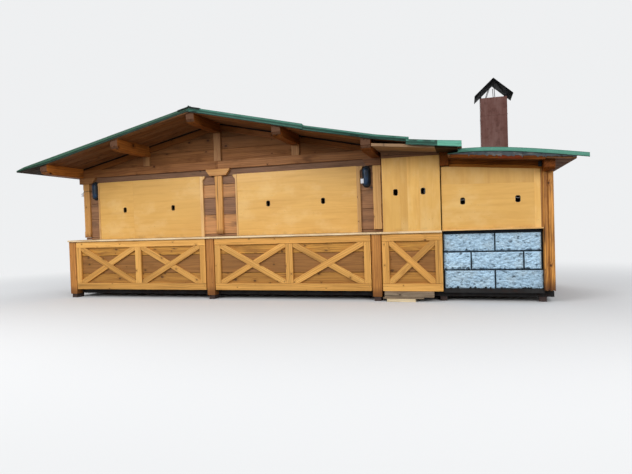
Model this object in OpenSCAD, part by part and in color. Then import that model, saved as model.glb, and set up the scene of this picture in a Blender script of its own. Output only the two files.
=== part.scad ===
// Wooden market hut: a gabled serving hall with two counter bays, a narrow third bay under the
// same roof slope, and a lower grill annex with a stone front and a flue.
// Places are measured from the left end of the counter, its front face and the ground.

/* [Counter] */
// Distance from one counter post to the next
bay_pitch = 2760; // [2200:10:3200]
// Side of a square counter post
post_w = 140; // [100:5:180]
// Height of the underside of the counter board
counter_h = 1000; // [900:5:1100]
// Thickness of the counter board
counter_t = 30; // [20:1:45]
// How far the counter board stands out in front of the posts
counter_lip = 30; // [10:5:60]
// Distance from the counter's front face to the wall's front face
counter_d = 380; // [280:5:480]
// Height of the lower end of the counter posts
post_foot = 68; // [50:1:90]

/* [Counter frames] */
// Height of the lower edge of the braced frames
frame_foot = 152; // [130:1:180]
// Thickness of the braced frames
frame_t = 35; // [25:1:50]
// Width of the top and bottom rails
rail_w = 112; // [80:2:140]
// Width of the outer stiles
stile_w = 104; // [80:2:130]
// Width of the stile between two braced fields
mid_stile_w = 118; // [80:2:140]
// Width of the diagonal braces
brace_w = 92; // [60:2:110]
// How far the braces lie behind the frame's face
brace_set = 4; // [1:1:8]
// Gap between a braced frame and the posts
frame_gap = 15; // [5:1:25]
// Thickness of the boards behind the frames
backing_t = 25; // [18:1:35]
// Width of the frame of the narrow third bay
bay_frame_w = 871; // [700:10:1100]

/* [Wall] */
// Side of a square wall post
wall_post_w = 130; // [100:5:160]
// How far the wall posts stand in from the ends of the counter
wall_inset = 30; // [0:5:60]
// Thickness of the wall boards
wall_t = 28; // [20:1:45]
// How far the wall boards lie behind the face of the posts
wall_set = 40; // [30:1:60]
// Depth of the hut from the front of the wall to the back
hut_depth = 2200; // [1800:20:2800]
// Chamfer on the edges of the wall posts
chamfer = 16; // [8:1:24]
// Gap between the counter board and the feet of the front wall posts
post_gap = 40; // [20:2:60]
// Width of a post's capital at its top
capital_w = 436; // [360:4:520]
// Width of a post's capital at its lower edge
capital_foot_w = 300; // [180:4:340]
// Height of a post's capital
capital_h = 112; // [80:2:130]
// How far the capitals stand out in front of the posts
capital_out = 18; // [8:1:30]
// Height of the tie beam's section
tie_h = 140; // [110:5:160]

/* [Windows and shutters] */
// Distance from the middle of the left post to the first shutter
left_gap = 290; // [260:1:400]
// Distance from the first shutter to the middle of the centre post
left_centre_gap = 362; // [300:1:420]
// Distance from the middle of the centre post to the second shutter
right_centre_gap = 345; // [300:1:420]
// Distance from the second shutter to the middle of the right post
right_gap = 326; // [300:1:420]
// Height of the two wide shutters
shutter_h = 1045; // [900:5:1080]
// Thickness of the shutters
shutter_t = 27; // [20:1:35]
// Width of the trims at the right of the shutters
jamb_w = 58; // [40:1:65]
// Width of the trims at the left of the shutters
jamb_narrow_w = 30; // [20:1:40]
// Overlap of a shutter on the wall around its window
shutter_lap = 40; // [20:2:60]
// Width of a hand hole
hand_hole_w = 56; // [40:1:64]
// Height of a hand hole
hand_hole_h = 86; // [70:1:100]
// Radius of a hand hole's corners
hand_hole_r = 20; // [10:1:20]
// Gap between the wide shutters and the tie beam over them
head_gap = 103; // [60:1:200]
// Distance from the tie beam's underside down to the middle of the left wall lamp
lamp_gap = 248; // [220:1:500]
// How much lower the right wall lamp hangs
lamp_drop = 35; // [0:5:60]
// Height of a wall lamp
lamp_h = 320; // [200:5:330]
// Width of a wall lamp
lamp_w = 115; // [90:5:130]
// Depth of a wall lamp
lamp_d = 76; // [60:2:110]

/* [Roof] */
// Pitch of the main roof in degrees
pitch = 12.5; // [8:0.5:16]
// Thickness of the roof boards
deck_t = 28; // [20:1:35]
// Thickness of the roof sheets
sheet_t = 6; // [4:1:10]
// Width of the purlins
purlin_w = 140; // [110:5:160]
// Height of the purlins
purlin_h = 170; // [140:5:190]
// How far the first purlin stands out from the middle of the left post
purlin_out = 115; // [60:5:130]
// How far the main roof reaches in front of the wall
front_overhang = 880; // [760:10:1000]
// How far the main roof reaches behind the back wall
back_overhang = 300; // [200:10:400]
// How far the roof reaches past the left end of the counter
left_overhang = 580; // [400:10:700]
// Distance of the purlins' ends behind the edge of the roof
nose_set = 20; // [10:2:80]
// Height of the upright face of a purlin's nose
nose_face = 106; // [80:2:120]
// Length of the shaped part of a purlin's nose
nose_len = 150; // [100:5:190]
// Height of the green edge trim
trim_h = 78; // [60:2:90]
// Thickness of the green edge trim
trim_t = 5; // [3:1:8]
// Length of the first edge trim to the right of the ridge
first_trim = 1830; // [1200:10:2400]
// Length of the short dark edge trim before the last one
dark_trim = 375; // [200:5:600]
// Length of the last edge trim
last_trim = 310; // [200:5:500]
// Width of each wing of the ridge cap
cap_wing = 190; // [120:5:260]
// Distance between the standing seams of the sheets
seam_pitch = 430; // [300:10:600]
// Height of the standing seams
seam_h = 25; // [15:1:35]

/* [Third bay] */
// Slope of the main roof's boards past the outer purlins
bay_slope = 0.17; // [0.12:0.01:0.2]
// How far the main roof reaches past the last purlin
bay_reach = 1150; // [1000:10:1300]
// Slope of the pale ceiling boards
ceiling_slope = 0.1; // [0.06:0.01:0.12]
// Thickness of the pale ceiling boards
ceiling_t = 42; // [25:1:45]
// Gap between the pale ceiling and the main roof at its left end
ceiling_gap = 60; // [40:2:90]
// Gap between the narrow shutter and the lowest part of the pale ceiling over it
narrow_gap = 31; // [10:1:60]

/* [Grill annex] */
// Width of the grill shutter
grill_w = 1312; // [1000:10:1500]
// How far the annex roof lies below the pale ceiling
annex_drop = 85; // [80:1:120]
// Slope of the annex roof
annex_slope = 0.086; // [0.05:0.002:0.11]
// Thickness of the annex roof boards
annex_deck_t = 25; // [18:1:32]
// How high the old felt lifts the middle of the annex sheet
felt_h = 55; // [10:1:70]
// How far the annex roof reaches in front of the counter's face
annex_front = 300; // [200:10:400]
// How far the annex roof reaches past the right post
annex_reach = 380; // [200:10:500]
// How far the annex edge trim reaches past the boards and the sheet at its right end
annex_trim_out = 145; // [0:5:200]
// Width of the right post
right_post_w = 135; // [100:5:160]
// Height of the annex header
header_h = 110; // [80:2:130]
// Height of the annex purlin
annex_purlin_h = 146; // [120:2:170]
// Height of the beam between the narrow bay and the annex
beam_h = 186; // [150:2:200]
// Lower edge of the stone front
stone_z0 = 190; // [180:2:210]
// Gap between the stone front and the sill over it
stone_gap = 42; // [20:1:60]
// Thickness of the stone front
stone_t = 70; // [50:5:80]

/* [Flue] */
// Side of the square flue
flue_w = 410; // [300:10:460]
// Thickness of the flue's sheet
flue_t = 8; // [5:1:12]
// Height of the flue's top edge above the roof boards at the ridge
flue_out = 185; // [50:5:400]
// Distance from the counter's face to the flue
flue_y = 1300; // [900:10:1600]
// Distance from the grill shutter's left edge to the flue
flue_x = 600; // [400:10:760]
// Height of the folded cap
cap_h = 270; // [200:10:320]
// Width of the folded cap
cap_w = 590; // [500:10:680]
// Length of the folded cap
cap_len = 540; // [450:10:640]
// Thickness of the folded cap
cap_t = 8; // [5:1:12]

/* [Base] */
// Height of the steel base frame's section
base_h = 80; // [60:5:100]
// Width of the steel base frame's members
base_w = 60; // [50:5:80]
// Thickness of the floor boards
floor_t = 28; // [20:1:35]
// Width of a steel foot
foot_w = 100; // [80:5:130]

/* [Hidden] */

// Clearance between a beam and the boards cut round it
fit = 1;

// Places along the front
counter_end = 2 * bay_pitch + post_w;
ridge_x = counter_end / 2;
bay_x0 = counter_end + frame_gap;
bay_x1 = bay_x0 + bay_frame_w;
grill_x0 = bay_x1 + 4;
grill_x1 = grill_x0 + grill_w;
grill_jamb_w = 24;
right_post_x = grill_x1 + grill_jamb_w;
stone_y0 = 50;
hut_end = right_post_x + right_post_w;
wall_x0 = wall_inset;
wall_x1 = counter_end - wall_inset;

// Places from front to back
wall_y = counter_d;
board_y = wall_y + wall_set;
back_y = wall_y + hut_depth;
back_board_y = back_y - wall_set - wall_t;
roof_y0 = wall_y - front_overhang;
roof_y1 = back_y + back_overhang;

// Heights
counter_z = counter_h + counter_t;
base_z1 = post_foot + base_h;
floor_z = base_z1 + floor_t;
post_z0 = counter_z + post_gap;
sheet_z = deck_t + sheet_t;
wall_post_x = [wall_x0, ridge_x - wall_post_w / 2, wall_x1 - wall_post_w];
purlin_pitch = bay_pitch / 2 + wall_inset;
purlin_x = [
    wall_post_x[0] + wall_post_w / 2 - purlin_out, ridge_x - purlin_pitch, ridge_x,
    ridge_x + purlin_pitch, wall_post_x[2] + wall_post_w / 2,
];
bend_left_x = purlin_x[0] + purlin_w / 2;
bend_x = purlin_x[4] + purlin_w / 2 + 65;
window_z1 = counter_z + shutter_h;
tie_z0 = window_z1 + head_gap;
tie_z1 = tie_z0 + tie_h;
ridge_z = tie_z0 + purlin_h + (roof_drop(purlin_x[0]) + roof_drop(purlin_x[4])) / 2;
lamp_z = tie_z0 - lamp_gap;
flue_top = ridge_z + flue_out;
grill_sill_z = counter_z + 6;
grill_sill_t = 24;
stone_z1 = grill_sill_z - grill_sill_t - stone_gap;

// The roof's outline
roof_x0 = -left_overhang;
roof_x1 = bend_x + bay_reach;
ceiling_x0 = purlin_x[4] + purlin_w / 2 + 8;
ceiling_x1 = roof_x1 - 60;
narrow_x0 = counter_end + 45;
narrow_x1 = bay_x1 - 10;
cheek_x0 = narrow_x0 - 12;
beam_w = 120;
beam_x = narrow_x1 + 4 + beam_w / 2;
annex_x0 = beam_x + beam_w / 2 + fit;
annex_x1 = hut_end + annex_reach;
annex_board_x1 = annex_x1 - annex_trim_out;
annex_z0 = ceiling_z(annex_x0) - annex_drop;
narrow_top = ceiling_z(narrow_x1) - narrow_gap;
annex_purlin_x = right_post_x + right_post_w / 2;
beam_z0 = ceiling_z(beam_x) - beam_h;
flue_x0 = grill_x0 + flue_x;

// The middle of the ground that the hut covers
mid = [(roof_x0 + annex_x1) / 2, (roof_y0 + roof_y1) / 2, 0];

// How far the main roof boards at x lie below the ridge
function roof_drop(x) = x > bend_x
    ? tan(pitch) * (bend_x - ridge_x) + bay_slope * (x - bend_x)
    : x < bend_left_x
    ? tan(pitch) * (ridge_x - bend_left_x) + bay_slope * (bend_left_x - x)
    : tan(pitch) * abs(x - ridge_x);

// Height of the main roof boards' underside at x
function deck_z(x) = ridge_z - roof_drop(x);

// Height of the pale ceiling's underside at x
function ceiling_z(x) = deck_z(bend_x) - ceiling_gap - ceiling_t - ceiling_slope * (x - bend_x);

// Height of the annex roof boards' underside at x
function annex_z(x) = annex_z0 - annex_slope * (x - annex_x0);

// How far the old felt lifts the annex sheet off its boards at x
function felt_z(x) = felt_h * sin(180 * pow((x - annex_x0) / (annex_x1 - annex_x0), 0.75));

// A box between two corners
module block(a, b) {
    translate(a) cube(b - a);
}

// An upright outline (x, z) drawn out from y0 to y1
module along_y(y0, y1) {
    translate([0, y1, 0]) rotate([90, 0, 0]) linear_extrude(y1 - y0) children();
}

// An upright outline (y, z) drawn out from x0 to x1
module along_x(x0, x1) {
    translate([x0, 0, 0]) rotate([90, 0, 90]) linear_extrude(x1 - x0) children();
}

// The band between two heights above the main roof boards' underside, from x0 to x1
module roof_band(x0, x1, low, high) {
    bends = [for (x = [bend_left_x, ridge_x, bend_x]) if (x > x0 && x < x1) x];
    xs = concat([x0], bends, [x1]);
    polygon(concat(
        [for (x = xs) [x, deck_z(x) + low]],
        [for (i = [len(xs) - 1:-1:0]) [xs[i], deck_z(xs[i]) + high]]
    ));
}

// A band over the main roof boards' underside that runs from heights a at x0 to heights b at x1
module sloped_band(x0, x1, a, b) {
    bends = [for (x = [bend_left_x, ridge_x, bend_x]) if (x > x0 && x < x1) x];
    xs = concat([x0], bends, [x1]);
    share = [for (x = xs) (x - x0) / (x1 - x0)];
    polygon(concat(
        [for (i = [0:len(xs) - 1]) [xs[i], deck_z(xs[i]) + a[0] + share[i] * (b[0] - a[0])]],
        [for (i = [len(xs) - 1:-1:0]) [xs[i], deck_z(xs[i]) + a[1] + share[i] * (b[1] - a[1])]]
    ));
}

// The band between two heights above the annex boards' underside, from x0 to x1
module annex_band(x0, x1, low, high) {
    polygon([
        [x0, annex_z(x0) + low], [x1, annex_z(x1) + low],
        [x1, annex_z(x1) + high], [x0, annex_z(x0) + high],
    ]);
}

// The band between two heights above the bowed felt, from x0 to x1
module bowed_band(x0, x1, low, high) {
    step = (annex_x1 - annex_x0) / 12;
    xs = concat([x0], [for (i = [0:12]) let (x = annex_x0 + i * step) if (x > x0 + 1 && x < x1 - 1) x], [x1]);
    top = [for (x = xs) annex_z(x) + annex_deck_t + felt_z(x)];
    polygon(concat(
        [for (i = [0:len(xs) - 1]) [xs[i], top[i] + low]],
        [for (i = [len(xs) - 1:-1:0]) [xs[i], top[i] + high]]
    ));
}

// The steel base
module base_frame() {
    ledge_h = stone_z0 - base_z1 + 20;
    color([0.16, 0.16, 0.18]) {
        block([0, post_w, post_foot], [hut_end, post_w + base_w, base_z1]);
        block([0, back_y - base_w, post_foot], [hut_end, back_y, base_z1]);
        for (x = [0, ridge_x, counter_end, grill_x0, hut_end - base_w])
            block([x, post_w, post_foot], [x + base_w, back_y, base_z1]);
        block([grill_x0, stone_y0, stone_z0 - ledge_h], [right_post_x, post_w, stone_z0]);
    }
}

module feet() {
    foot_y0 = 20;
    post_mids = [for (i = [0:2]) i * bay_pitch + post_w / 2];
    annex_mids = [grill_x0 - foot_w / 10, right_post_x - foot_w / 10];
    color([0.2, 0.2, 0.22]) {
        for (x = post_mids)
            block([x - foot_w / 2, foot_y0, 0], [x + foot_w / 2, post_w + base_w, post_foot]);
        for (x = annex_mids)
            block([x - foot_w / 2, post_w, 0], [x + foot_w / 2, post_w + base_w, post_foot]);
        for (x = concat(post_mids, annex_mids))
            block([x - foot_w / 2, back_y - base_w, 0], [x + foot_w / 2, back_y, post_foot]);
    }
}

// Three loose boards packed under the narrow bay, each lying on the one before
module packing_boards() {
    packing_w = 160;
    starts = [for (share = [0.07, 0.006, 0.03]) share * bay_frame_w];
    lengths = [for (share = [0.48, 0.68, 0.82]) share * bay_frame_w];
    fronts = [-50, -35, -30];
    levels = [0, 43, 65, frame_foot];
    color([0.52, 0.42, 0.32])
        for (i = [0:2])
            translate([bay_x0 + starts[i], fronts[i], levels[i]])
                cube([lengths[i], packing_w, levels[i + 1] - levels[i]]);
}

module floor_boards() {
    floor_x1 = hut_end - wall_set / 2;
    color([0.55, 0.4, 0.26])
        block([wall_x0, post_w, base_z1], [floor_x1, back_y - 10, floor_z]);
}

module counter_posts() {
    edge = 10;
    color([0.72, 0.47, 0.27])
        for (i = [0:2])
            translate([i * bay_pitch, 0, 0]) difference() {
                block([0, 0, post_foot], [post_w, post_w, counter_h]);
                for (x = [0, post_w])
                    translate([x, 0, 0]) rotate([0, 0, 45])
                        cube([edge, edge, 2 * counter_h + edge], center = true);
            }
}

// One diagonal brace across an opening, from corner to corner
module brace(x0, z0, x1, z1) {
    length = norm([x1 - x0, z1 - z0]) + 2 * brace_w;
    translate([(x0 + x1) / 2, (z0 + z1) / 2])
        rotate(atan2(z1 - z0, x1 - x0)) square([length, brace_w], center = true);
}

// A frame of rails and stiles with crossed braces in each field
module braced_frame(x0, x1, fields) {
    z0 = frame_foot + rail_w;
    z1 = counter_h - rail_w;
    field_w = (x1 - x0 - 2 * stile_w - (fields - 1) * mid_stile_w) / fields;
    field_x = [for (i = [0:fields - 1]) x0 + stile_w + i * (field_w + mid_stile_w)];
    along_y(0, frame_t) difference() {
        translate([x0, frame_foot]) square([x1 - x0, counter_h - frame_foot]);
        for (x = field_x)
            translate([x, z0]) square([field_w, z1 - z0]);
    }
    for (x = field_x)
        along_y(brace_set, frame_t) intersection() {
            translate([x - 1, z0 - 1]) square([field_w + 2, z1 - z0 + 2]);
            union() {
                brace(x, z0, x + field_w, z1);
                brace(x, z1, x + field_w, z0);
            }
        }
}

module counter_frame_left() {
    color([0.82, 0.6, 0.3]) braced_frame(post_w + frame_gap, bay_pitch - frame_gap, 2);
}

module counter_frame_middle() {
    color([0.82, 0.6, 0.3])
        braced_frame(bay_pitch + post_w + frame_gap, 2 * bay_pitch - frame_gap, 2);
}

module counter_frame_right() {
    color([0.82, 0.6, 0.3]) braced_frame(bay_x0, bay_x1, 1);
}

// Boards behind the braced frames
module counter_boards() {
    color([0.5, 0.32, 0.2]) {
        for (i = [0:1])
            block([i * bay_pitch + post_w, frame_t, frame_foot],
                [(i + 1) * bay_pitch, frame_t + backing_t, counter_h]);
        block([counter_end, frame_t, frame_foot], [bay_x1, frame_t + backing_t, counter_h]);
    }
}

// The counter board, which narrows to a sill under the third bay
module counter_top() {
    color([0.8, 0.66, 0.45])
        translate([0, 0, counter_h]) linear_extrude(counter_t) polygon([
            [0, -counter_lip], [bay_x1, -counter_lip], [bay_x1, post_w],
            [cheek_x0 + wall_t, post_w], [cheek_x0 + wall_t, wall_y + wall_post_w],
            [0, wall_y + wall_post_w],
        ]);
}

// A wall post with chamfered edges that stop short of its ends
module chamfered_post(x0, y0, z0, z1) {
    stop = 110;
    difference() {
        block([x0, y0, z0], [x0 + wall_post_w, y0 + wall_post_w, z1]);
        for (x = [x0, x0 + wall_post_w], y = [y0, y0 + wall_post_w])
            translate([x, y, (z0 + z1) / 2]) rotate([0, 0, 45])
                cube([chamfer, chamfer, z1 - z0 - 2 * stop], center = true);
    }
}

// The spreading head of a post, seen from the front, about x
module capital_outline(x) {
    shoulder = 22;
    polygon([
        [x - capital_foot_w / 2, tie_z0 - capital_h], [x + capital_foot_w / 2, tie_z0 - capital_h],
        [x + capital_w / 2, tie_z0 - shoulder], [x + capital_w / 2, tie_z0],
        [x - capital_w / 2, tie_z0], [x - capital_w / 2, tie_z0 - shoulder],
    ]);
}

// Wall post number i from the left with its head, which ends a little past the corner posts
module headed_post(i, y0, z0, out0, out1) {
    x0 = wall_post_x[i];
    head_x0 = i == 0 ? x0 - 60 : x0 - capital_w;
    head_x1 = i == 2 ? x0 + wall_post_w : x0 + capital_w;
    chamfered_post(x0, y0, z0, tie_z0 - capital_h + 1);
    along_y(y0 - out0, y0 + wall_post_w + out1) intersection() {
        capital_outline(x0 + wall_post_w / 2);
        translate([head_x0, tie_z0 - capital_h]) square([head_x1 - head_x0, capital_h]);
    }
}

module front_posts() {
    color([0.75, 0.52, 0.3])
        for (i = [0:2])
            headed_post(i, wall_y, post_z0, capital_out, 0);
}

module back_posts() {
    color([0.7, 0.48, 0.28]) {
        for (i = [0:2])
            headed_post(i, back_y - wall_post_w, floor_z, 0, capital_out);
        block([right_post_x, back_y - wall_post_w, floor_z],
            [hut_end, back_y, annex_z(annex_purlin_x) - annex_purlin_h]);
    }
}

// The front and back tie beams between the outer purlins, with a joint at the middle
module tie_beams() {
    groove = 4;
    joint_x = ridge_x - 40;
    color([0.68, 0.45, 0.26])
        for (y = [wall_y, back_y - wall_post_w])
            difference() {
                block([purlin_x[0] + purlin_w / 2, y, tie_z0],
                    [purlin_x[4] - purlin_w / 2, y + wall_post_w, tie_z1]);
                for (gy = [y, y + wall_post_w])
                    block([joint_x, gy - groove, tie_z0 - 1], [joint_x + groove, gy + groove, tie_z1 + 1]);
            }
}

// The king post and the short posts that stand on a tie beam
module gable_struts() {
    color([0.76, 0.52, 0.3])
        for (i = [1:3], y = [wall_y, back_board_y + wall_t])
            block([purlin_x[i] - wall_post_w / 2, y, tie_z1],
                [purlin_x[i] + wall_post_w / 2, y + wall_set, deck_z(purlin_x[i]) - purlin_h]);
}

// Boards on edge under the roof boards, between the purlins
module gable_rafters() {
    rafter_h = 120;
    rafter_set = 8;
    color([0.66, 0.43, 0.24])
        for (i = [0:3], y = [wall_y + rafter_set, back_board_y + wall_t])
            along_y(y, y + wall_set - rafter_set) intersection() {
                roof_band(purlin_x[i] + purlin_w / 2, purlin_x[i + 1] - purlin_w / 2, -rafter_h, 0);
                translate([0, tie_z1]) square([counter_end, ridge_z - tie_z1]);
            }
}

// The boarded gables, cut out round the purlins
module gable_boards() {
    color([0.5, 0.33, 0.21])
        for (y = [board_y, back_board_y])
            along_y(y, y + wall_t) difference() {
                intersection() {
                    roof_band(bend_left_x, wall_x1, -ridge_z, 0);
                    translate([0, tie_z1]) square([counter_end, ridge_z - tie_z1]);
                }
                for (x = purlin_x)
                    translate([x - purlin_w / 2 - fit, deck_z(x) - purlin_h - fit])
                        square([purlin_w + 2 * fit, 2 * purlin_h]);
            }
}

// The left edge and the width of each wide shutter
post_pitch = wall_post_x[1] - wall_post_x[0];
left_window = [wall_post_x[0] + wall_post_w / 2 + left_gap, post_pitch - left_gap - left_centre_gap];
middle_window = [ridge_x + right_centre_gap, post_pitch - right_gap - right_centre_gap];

// The boarded front between the wall posts, with the two windows cut through it,
// on a sill that the posts stand on
module front_wall() {
    color([0.55, 0.36, 0.24]) {
        for (i = [0:1]) {
            window = i == 0 ? left_window : middle_window;
            along_y(board_y, board_y + wall_t) difference() {
                translate([wall_post_x[i] + wall_post_w, post_z0])
                    square([wall_post_x[i + 1] - wall_post_x[i] - wall_post_w, tie_z0 - post_z0]);
                translate([window[0] + shutter_lap, post_z0 - 1])
                    square([window[1] - 2 * shutter_lap, window_z1 - shutter_lap - post_z0 + 1]);
                capital_outline(wall_post_x[i] + wall_post_w / 2);
                capital_outline(wall_post_x[i + 1] + wall_post_w / 2);
            }
        }
        block([wall_x0, board_y, counter_z], [wall_x1, wall_y + wall_post_w, post_z0]);
    }
}

// A trim beside a shutter; lean -1 or 1 gives it a small bracket at its top on that side
module jamb(x, w, lean) {
    bracket_w = 42;
    bracket_h = 76;
    proud = 8;
    top = window_z1 - 5;
    along_y(board_y - shutter_t - proud, board_y) union() {
        translate([x, counter_z]) square([w, top - counter_z]);
        if (lean != 0) {
            root = x + (lean > 0 ? w : 0);
            tip = root + lean * bracket_w;
            polygon([[root, top - bracket_h], [tip, top - bracket_h / 3], [tip, top], [root, top]]);
        }
    }
}

module window_jambs() {
    color([0.85, 0.68, 0.42]) {
        jamb(left_window[0] - jamb_narrow_w - fit, jamb_narrow_w, 0);
        jamb(left_window[0] + left_window[1] + fit, jamb_w, 1);
        jamb(middle_window[0] - jamb_narrow_w - fit, jamb_narrow_w, -1);
        jamb(middle_window[0] + middle_window[1] + fit, jamb_w, 1);
    }
}

// A hand hole with rounded corners
module hand_hole(x, z) {
    w = hand_hole_w - 2 * hand_hole_r;
    h = hand_hole_h - 2 * hand_hole_r;
    translate([x, z]) {
        square([hand_hole_w, h], center = true);
        square([w, hand_hole_h], center = true);
        for (sx = [-1, 1], sz = [-1, 1])
            translate([sx * w / 2, sz * h / 2]) circle(r = hand_hole_r, $fn = 24);
    }
}

// A wide shutter in front of its window, with a hand hole at each share of its width
module wide_shutter(window, shares) {
    color([0.88, 0.69, 0.38])
        along_y(board_y - shutter_t, board_y) difference() {
            translate([window[0], counter_z]) square([window[1], shutter_h]);
            for (share = shares)
                hand_hole(window[0] + share * window[1], counter_z + shutter_h / 2);
        }
}

module shutter_left() {
    wide_shutter(left_window, [0.26, 0.74]);
}

module shutter_middle() {
    wide_shutter(middle_window, [0.27, 0.73]);
}

module shutter_narrow() {
    hole_z = counter_z + 575;
    hole_in = 195;
    hole_out = 240;
    color([0.88, 0.69, 0.38])
        along_y(0, shutter_t) difference() {
            translate([narrow_x0, counter_z]) square([narrow_x1 - narrow_x0, narrow_top - counter_z]);
            hand_hole(narrow_x0 + hole_in, hole_z);
            hand_hole(narrow_x1 - hole_out, hole_z);
        }
}

grill_y = 30;

module shutter_grill() {
    hole_z = grill_sill_z + 402;
    hole_in = 291;
    notch = 12;
    color([0.88, 0.68, 0.36])
        along_y(grill_y, grill_y + shutter_t) difference() {
            polygon([
                [grill_x0, grill_sill_z], [grill_x1, grill_sill_z],
                [grill_x1, annex_z(grill_x1) - header_h], [annex_x0, annex_z(annex_x0) - header_h],
                [annex_x0, beam_z0 - notch], [grill_x0, beam_z0 - notch],
            ]);
            hand_hole(grill_x0 + hole_in, hole_z);
            hand_hole(grill_x1 - hole_in, hole_z);
        }
}

// A flat outline with round ends
module oval(w, h) {
    square([w, h - w], center = true);
    for (s = [-1, 1])
        translate([0, s * (h - w) / 2]) circle(d = w, $fn = 32);
}

module wall_lamps() {
    plate_t = 20;
    body_in = 14;
    glass_in = 44;
    left_x = left_window[0] - jamb_narrow_w - lamp_w / 2 - 5;
    right_x = wall_post_x[2] - 100;
    color([0.12, 0.13, 0.14])
        for (place = [[left_x, lamp_z], [right_x, lamp_z - lamp_drop]])
            translate([place[0], board_y, place[1]]) rotate([90, 0, 0]) {
                linear_extrude(plate_t) oval(lamp_w, lamp_h);
                linear_extrude((plate_t + lamp_d) / 2) oval(lamp_w - body_in, lamp_h - body_in);
                linear_extrude(lamp_d) oval(lamp_w - glass_in, lamp_h - glass_in);
            }
}

// Side outline (y, z) of a purlin with a shaped nose at both ends
module purlin_outline(y0, y1, h) {
    drop = h - nose_face;
    step = 12;
    curve = [for (a = [0:15:90]) [(nose_len - step) * (1 - cos(a)), -nose_face - drop * sin(a)]];
    polygon(concat(
        [[y0, 0]],
        [[y0, -nose_face]],
        [for (p = curve) [y0 + step + p[0], p[1]]],
        [for (i = [len(curve) - 1:-1:0]) [y1 - step - curve[i][0], curve[i][1]]],
        [[y1, -nose_face]],
        [[y1, 0]]
    ));
}

// A main purlin of height h about x, its top cut to the roof boards
module purlin(x, h) {
    intersection() {
        translate([0, 0, deck_z(x)])
            along_x(x - purlin_w / 2, x + purlin_w / 2)
                union() {
                    purlin_outline(roof_y0 + nose_set, roof_y1 - nose_set, h);
                    translate([roof_y0 + nose_set, -1])
                        square([roof_y1 - roof_y0 - 2 * nose_set, purlin_w]);
                }
        along_y(roof_y0, roof_y1)
            roof_band(x - purlin_w / 2 - 1, x + purlin_w / 2 + 1, -2 * purlin_h, 0);
    }
}

module ridge_purlin() {
    color([0.6, 0.36, 0.2]) purlin(ridge_x, purlin_h);
}

// The outer purlins fill the height between the post heads and the roof boards
module side_purlins() {
    color([0.62, 0.38, 0.2]) {
        for (i = [1, 3])
            purlin(purlin_x[i], purlin_h);
        for (i = [0, 4])
            purlin(purlin_x[i], deck_z(purlin_x[i]) - tie_z0);
    }
}

module roof_deck_left() {
    color([0.45, 0.3, 0.18])
        along_y(roof_y0, roof_y1) roof_band(roof_x0, ridge_x, 0, deck_t);
}

module roof_deck_right() {
    color([0.45, 0.3, 0.18])
        along_y(roof_y0, roof_y1) roof_band(ridge_x, roof_x1, 0, deck_t);
}

// Standing seams from x0 to x1 on top of a sheet
module seams(x0, x1) {
    seam_w = 20;
    count = floor((roof_y1 - roof_y0) / seam_pitch) - 1;
    first = (roof_y0 + roof_y1 - count * seam_pitch) / 2;
    for (i = [0:count])
        along_y(first + i * seam_pitch, first + i * seam_pitch + seam_w)
            roof_band(x0, x1, deck_t + sheet_t - 1, sheet_z + seam_h);
}

// Half the width of the ridge cap's core and the fold of the trims
cap_core = 60;
fold_w = 60;

module roof_sheet_left() {
    color([0.25, 0.5, 0.38]) {
        along_y(roof_y0, roof_y1) roof_band(roof_x0, ridge_x, deck_t, sheet_z);
        seams(roof_x0 + 20, ridge_x - cap_wing - 10);
    }
}

module roof_sheet_right() {
    color([0.25, 0.5, 0.38]) {
        along_y(roof_y0, roof_y1) roof_band(ridge_x, roof_x1, deck_t, sheet_z);
        seams(ridge_x + cap_wing + 10, roof_x1 - 20);
    }
}

// A length of trim between heights a at x0 and b at x1, layer 0 against the boards, layer 1 over it
module trim(layer, x0, x1, a, b) {
    along_y(-(layer + 1) * trim_t, -layer * trim_t) sloped_band(x0, x1, a, b);
}

// The green trims along the front and back edges of the main roof, in lapped lengths,
// the left one tapered to its tip
module verge_trims() {
    lap = 40;
    edge = trim_h / 10;
    strip = trim_h / 3;
    joints = [ridge_x + first_trim, roof_x1 - last_trim - dark_trim, roof_x1 - last_trim];
    taper = roof_x0 + 0.3 * left_overhang;
    color([0.24, 0.5, 0.38])
        for (side = [0, 1])
            translate([0, side == 0 ? roof_y0 : roof_y1, 0]) mirror([0, side, 0]) {
                trim(0, roof_x0, taper, [0, strip], [0, 0.7 * trim_h]);
                trim(0, taper, bend_left_x, [0, 0.7 * trim_h], [-edge, trim_h]);
                trim(0, bend_left_x, ridge_x, [-edge, trim_h], [-edge, trim_h]);
                trim(0, ridge_x, roof_x1, [0, strip], [0, strip]);
                trim(1, ridge_x - lap, joints[0], [edge, trim_h], [-2.5 * edge, 0.82 * trim_h]);
                trim(0, joints[0] - lap, joints[1], [-3.5 * edge, 0.56 * trim_h], [0, 0.82 * trim_h]);
                trim(1, joints[1] - lap, joints[2], [-5.5 * edge, 0.4 * trim_h], [-3 * edge, 0.7 * trim_h]);
                trim(1, joints[2], roof_x1, [-3 * edge, 0.7 * trim_h], [-edge, trim_h]);
                along_y(0, fold_w) roof_band(bend_left_x, joints[0], sheet_z, sheet_z + seam_h);
            }
}

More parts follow.
